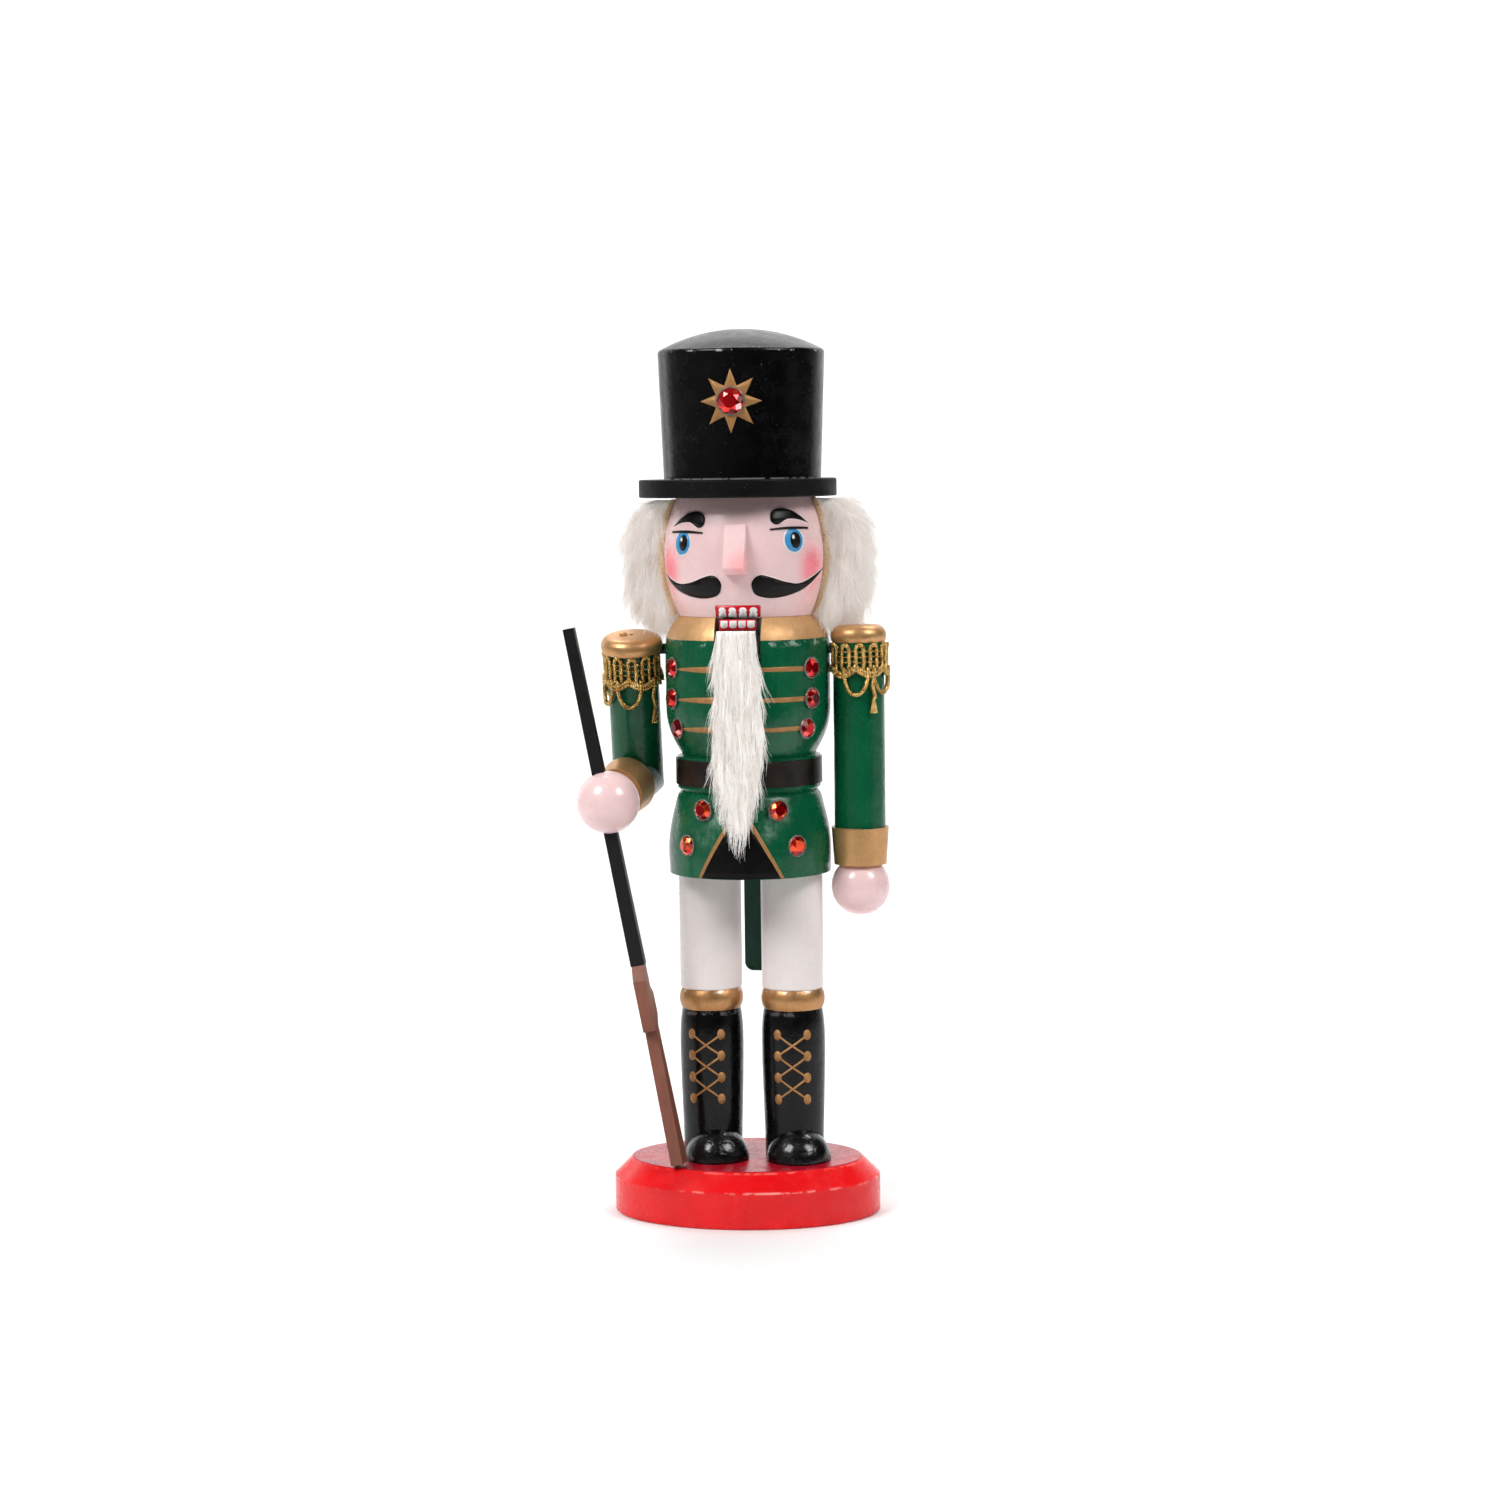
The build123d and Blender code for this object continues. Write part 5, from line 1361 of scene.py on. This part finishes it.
def lace(label, centre, up, skip_side, tight, cord_seed):
    """One epaulette: arched cords, thin cross threads, a scalloped edge, hanging loops and a tassel.

    centre is the middle of the cap's underside, up the arm's direction, skip_side the side that meets the torso,
    tight the cosine of half the angle where the arm lies too close to the torso for cord.
    """
    rng = random.Random(cord_seed)
    across = Vector((1, 0, 0))
    front = across.cross(up).normalized() * -1
    front = -up.cross(across).normalized() if front.y > 0 else front

    def at(angle, drop, extra=0.0):
        out = across * sin(angle) + front * cos(angle)
        return centre + out * (LACE_R + extra) - up * drop

    def hidden(angle):
        return cos(angle - skip_side * pi / 2) > tight

    cords, threads = [], []
    pitch = 2 * pi / COLUMNS
    for k in range(0, COLUMNS, 2):
        a0, a1 = k * pitch, (k + 1) * pitch
        if hidden(a0) or hidden(a1):
            continue
        jit = rng.uniform(-0.25, 0.25) * MM
        arch = [at(a0, LACE_BAND), at(a0 + rng.uniform(-0.03, 0.03), 0.6 * LACE_BAND)]
        for j in range(9):
            b = pi * j / 8
            arch.append(at((a0 + a1) / 2 - (a1 - a0) / 2 * cos(b), LACE_TOP + 1.0 * MM + jit - 1.0 * MM * sin(b), 0.25 * MM * sin(b)))
        arch += [at(a1 + rng.uniform(-0.03, 0.03), 0.6 * LACE_BAND), at(a1, LACE_BAND)]
        cords.append(arch)
    for drop in (2.4 * MM, 3.9 * MM, 5.4 * MM):
        ring = []
        for k in range(121):
            a = 2 * pi * k / 120
            if hidden(a):
                if len(ring) > 2:
                    threads.append(ring)
                ring = []
                continue
            ring.append(at(a, drop + 0.15 * MM * sin(9 * a), -CORD_PLY * 0.8))
        if len(ring) > 2:
            threads.append(ring)
    scallop = []
    runs = []
    for k in range(SCALLOPS * 14 + 1):
        a = 2 * pi * k / (SCALLOPS * 14)
        if hidden(a):
            if len(scallop) > 2:
                runs.append(scallop)
            scallop = []
            continue
        dip = abs(sin(a * SCALLOPS / 2))
        scallop.append(at(a, LACE_BAND - 0.9 * MM + 1.9 * MM * dip, 0.35 * MM))
    if len(scallop) > 2:
        runs.append(scallop)
    cords += runs
    cords += [[p - up * 1.0 * MM for p in run] for run in runs]
    for k in range(SCALLOPS):
        mid = (k + 1.0) * 2 * pi / SCALLOPS
        if hidden(mid) or hidden(mid - 0.4) or hidden(mid + 0.4):
            continue
        half = 3.3 * MM / LACE_R
        long = LOOP_DROP * rng.uniform(0.9, 1.06)
        sag = []
        for j in range(25):
            b = pi * (-0.15 + 1.3 * j / 24)
            swing = rng.uniform(0, 0.02)
            sag.append(at(mid - half * cos(b), LACE_BAND - 0.2 * MM + long * max(0.0, 0.12 + 0.88 * sin(b)) , 0.45 * MM + swing * MM))
        cords.append(sag)
    tassel_at = 0.62 if label == "left" else 0.9
    drop_len = 9.0 * MM
    cords.append([at(tassel_at + 0.05 * sin(j), LACE_BAND - 1 * MM + drop_len * j / 8, 0.55 * MM) for j in range(9)])
    ends = []
    for j in range(5):
        spread = (j - 2) * 0.055
        ends.append([at(tassel_at + spread * t / 5, LACE_BAND - 1 * MM + drop_len + 4.2 * MM * t / 5, (0.45 + 0.1 * (j % 2)) * MM)
                     for t in range(6)])
    for name, paths, ply, twist in (("cords", cords, CORD_PLY, 1.5 * MM), ("threads", threads, 0.11 * MM, 0.7 * MM),
                                    ("tassel", ends, 0.2 * MM, 1.2 * MM)):
        source = paths_object(paths)
        mesh = run_tree(CORD, source, f"{label}_epaulette_{name}", Material=cord_gold, Ply_Radius=ply, Pitch=twist,
                        Step=twist / 7)
        bpy.data.objects.remove(source)
        piece = finish_piece(f"{label}_epaulette_{name}", mesh, cord_gold, "root")
        if name == "cords":
            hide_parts(f"{label}_epaulette")


left_cap = Vector((middle("left_arm").x, 0, CAP_LEVEL))
right_cap = elbow + upper_dir * RIGHT_CAP_START
lace("left", left_cap, Vector((0, 0, 1)), -1, 0.93, 11)
lace("right", right_cap, upper_dir, 1, 0.985, 12)

# ------------------------------------------------------------------ small marks of making

bm = bmesh.new()
bmesh.ops.create_icosphere(bm, subdivisions=4, radius=1.0)
cap_top = elbow + upper_dir * 41.6 * MM
for v in bm.verts:
    bump = 1 + 0.22 * noise.noise(v.co * 1.3)
    shape = Vector((v.co.x * 1.35, v.co.y * 0.9, v.co.z * 0.75)) * bump * 0.85 * MM
    v.co = cap_top + Vector((-2.1 * MM, -0.4 * MM, 0.15 * MM)) + shape
finish_piece("cap_paint_lump", mesh_from(bm, "cap_paint_lump"), enamel("cap_lump_enamel", (ARM_GOLD,)), "root")

# ------------------------------------------------------------------ stage, camera and light

def pale_floor():
    r = Recipe("pale_floor")
    soft = r.noise(6, 3)
    r.shader_input("Base Color", r.mix(soft, (0.86, 0.86, 0.86, 1), (0.83, 0.83, 0.835, 1)))
    r.shader_input("Roughness", r.range(soft, 0.3, 0.7, 0.7, 0.8))
    return r.mat


SWEEP_WIDTH = 4.0
FLOOR_FRONT = -0.32
FLOOR_BACK = 1.2
SWEEP_R = 0.8
WALL_TOP = 2.6
profile = [(FLOOR_FRONT, 0.0), (FLOOR_BACK, 0.0)]
profile += [(FLOOR_BACK + SWEEP_R * sin(radians(a)), SWEEP_R * (1 - cos(radians(a)))) for a in range(6, 91, 6)]
profile.append((FLOOR_BACK + SWEEP_R, WALL_TOP))
sweep = sheet_mesh([[Vector((x, y, z)) for x in (SWEEP_WIDTH / 2, -SWEEP_WIDTH / 2)] for y, z in profile], "sweep")
floor = bpy.data.objects.new("floor", sweep)
bpy.context.scene.collection.objects.link(floor)
sweep.materials.append(pale_floor())
sweep.polygons.foreach_set("use_smooth", [True] * len(sweep.polygons))

CAMERA_AZIMUTH = 7.5
CAMERA_DISTANCE = 939.5 * MM
CAMERA_HEIGHT = 215.5 * MM
CAMERA_PITCH = 5.1
CAMERA_ROLL = -0.75
LENS = 80.0
AIM_SHIFT_X = 0.3 * MM

camera_data = bpy.data.cameras.new("camera")
camera_data.lens = LENS
camera_data.sensor_width = 36.0
camera = bpy.data.objects.new("camera", camera_data)
bpy.context.scene.collection.objects.link(camera)
azimuth = radians(CAMERA_AZIMUTH)
right = Vector((cos(azimuth), sin(azimuth), 0))
camera.location = Vector((CAMERA_DISTANCE * sin(azimuth), -CAMERA_DISTANCE * cos(azimuth), CAMERA_HEIGHT)) + right * AIM_SHIFT_X
look = Matrix.Rotation(azimuth, 4, "Z") @ Matrix.Rotation(radians(90 - CAMERA_PITCH), 4, "X")
camera.rotation_euler = (look @ Matrix.Rotation(radians(CAMERA_ROLL), 4, "Z")).to_euler()
bpy.context.scene.camera = camera

world = bpy.data.worlds.new("studio")
bpy.context.scene.world = world
world.use_nodes = True
studio = world.node_tree
facing = studio.nodes.new("ShaderNodeTexCoord").outputs["Generated"]
apart = studio.nodes.new("ShaderNodeSeparateXYZ")
studio.links.new(facing, apart.inputs[0])
shade = studio.nodes.new("ShaderNodeMapRange")
shade.interpolation_type = "SMOOTHSTEP"
for name, value in (("From Min", 0.3), ("From Max", 0.7), ("To Min", 0.06), ("To Max", 0.8)):
    shade.inputs[name].default_value = value
studio.links.new(apart.outputs[1], shade.inputs["Value"])
direct = studio.nodes.new("ShaderNodeLightPath")
seen = studio.nodes.new("ShaderNodeMix")
studio.links.new(direct.outputs["Is Camera Ray"], seen.inputs[0])
side_shade = studio.nodes.new("ShaderNodeMapRange")
for name, value in (("From Min", -0.7), ("From Max", 0.6), ("To Min", 2.9), ("To Max", 0.05)):
    side_shade.inputs[name].default_value = value
studio.links.new(apart.outputs[0], side_shade.inputs["Value"])
both = studio.nodes.new("ShaderNodeMath")
both.operation = "MULTIPLY"
studio.links.new(shade.outputs[0], both.inputs[0])
studio.links.new(side_shade.outputs[0], both.inputs[1])
studio.links.new(both.outputs[0], seen.inputs[2])
seen.inputs[3].default_value = 1.0
studio.links.new(seen.outputs[0], studio.nodes["Background"].inputs[1])
studio.nodes["Background"].inputs[0].default_value = (1.0, 1.0, 1.0, 1)


def softbox(name, place, aim, size, power, tint=(1, 1, 1)):
    data = bpy.data.lights.new(name, "AREA")
    data.shape = "RECTANGLE"
    data.size, data.size_y = size
    data.energy = power
    data.color = tint
    lamp = bpy.data.objects.new(name, data)
    bpy.context.scene.collection.objects.link(lamp)
    lamp.location = place
    lamp.rotation_euler = (Vector(aim) - Vector(place)).to_track_quat("-Z", "Y").to_euler()


softbox("key_left", (-0.64, -0.70, 1.0), (0, 0, 0.14), (0.54, 0.54), 12.6)
softbox("key_right", (0.84, -0.48, 0.95), (0, 0, 0.14), (0.46, 0.46), 8.8)
softbox("backdrop", (0.0, 1.0, 2.3), (0, 2.0, 0.6), (2.5, 0.5), 60.0)

bpy.context.scene.view_settings.view_transform = "Standard"
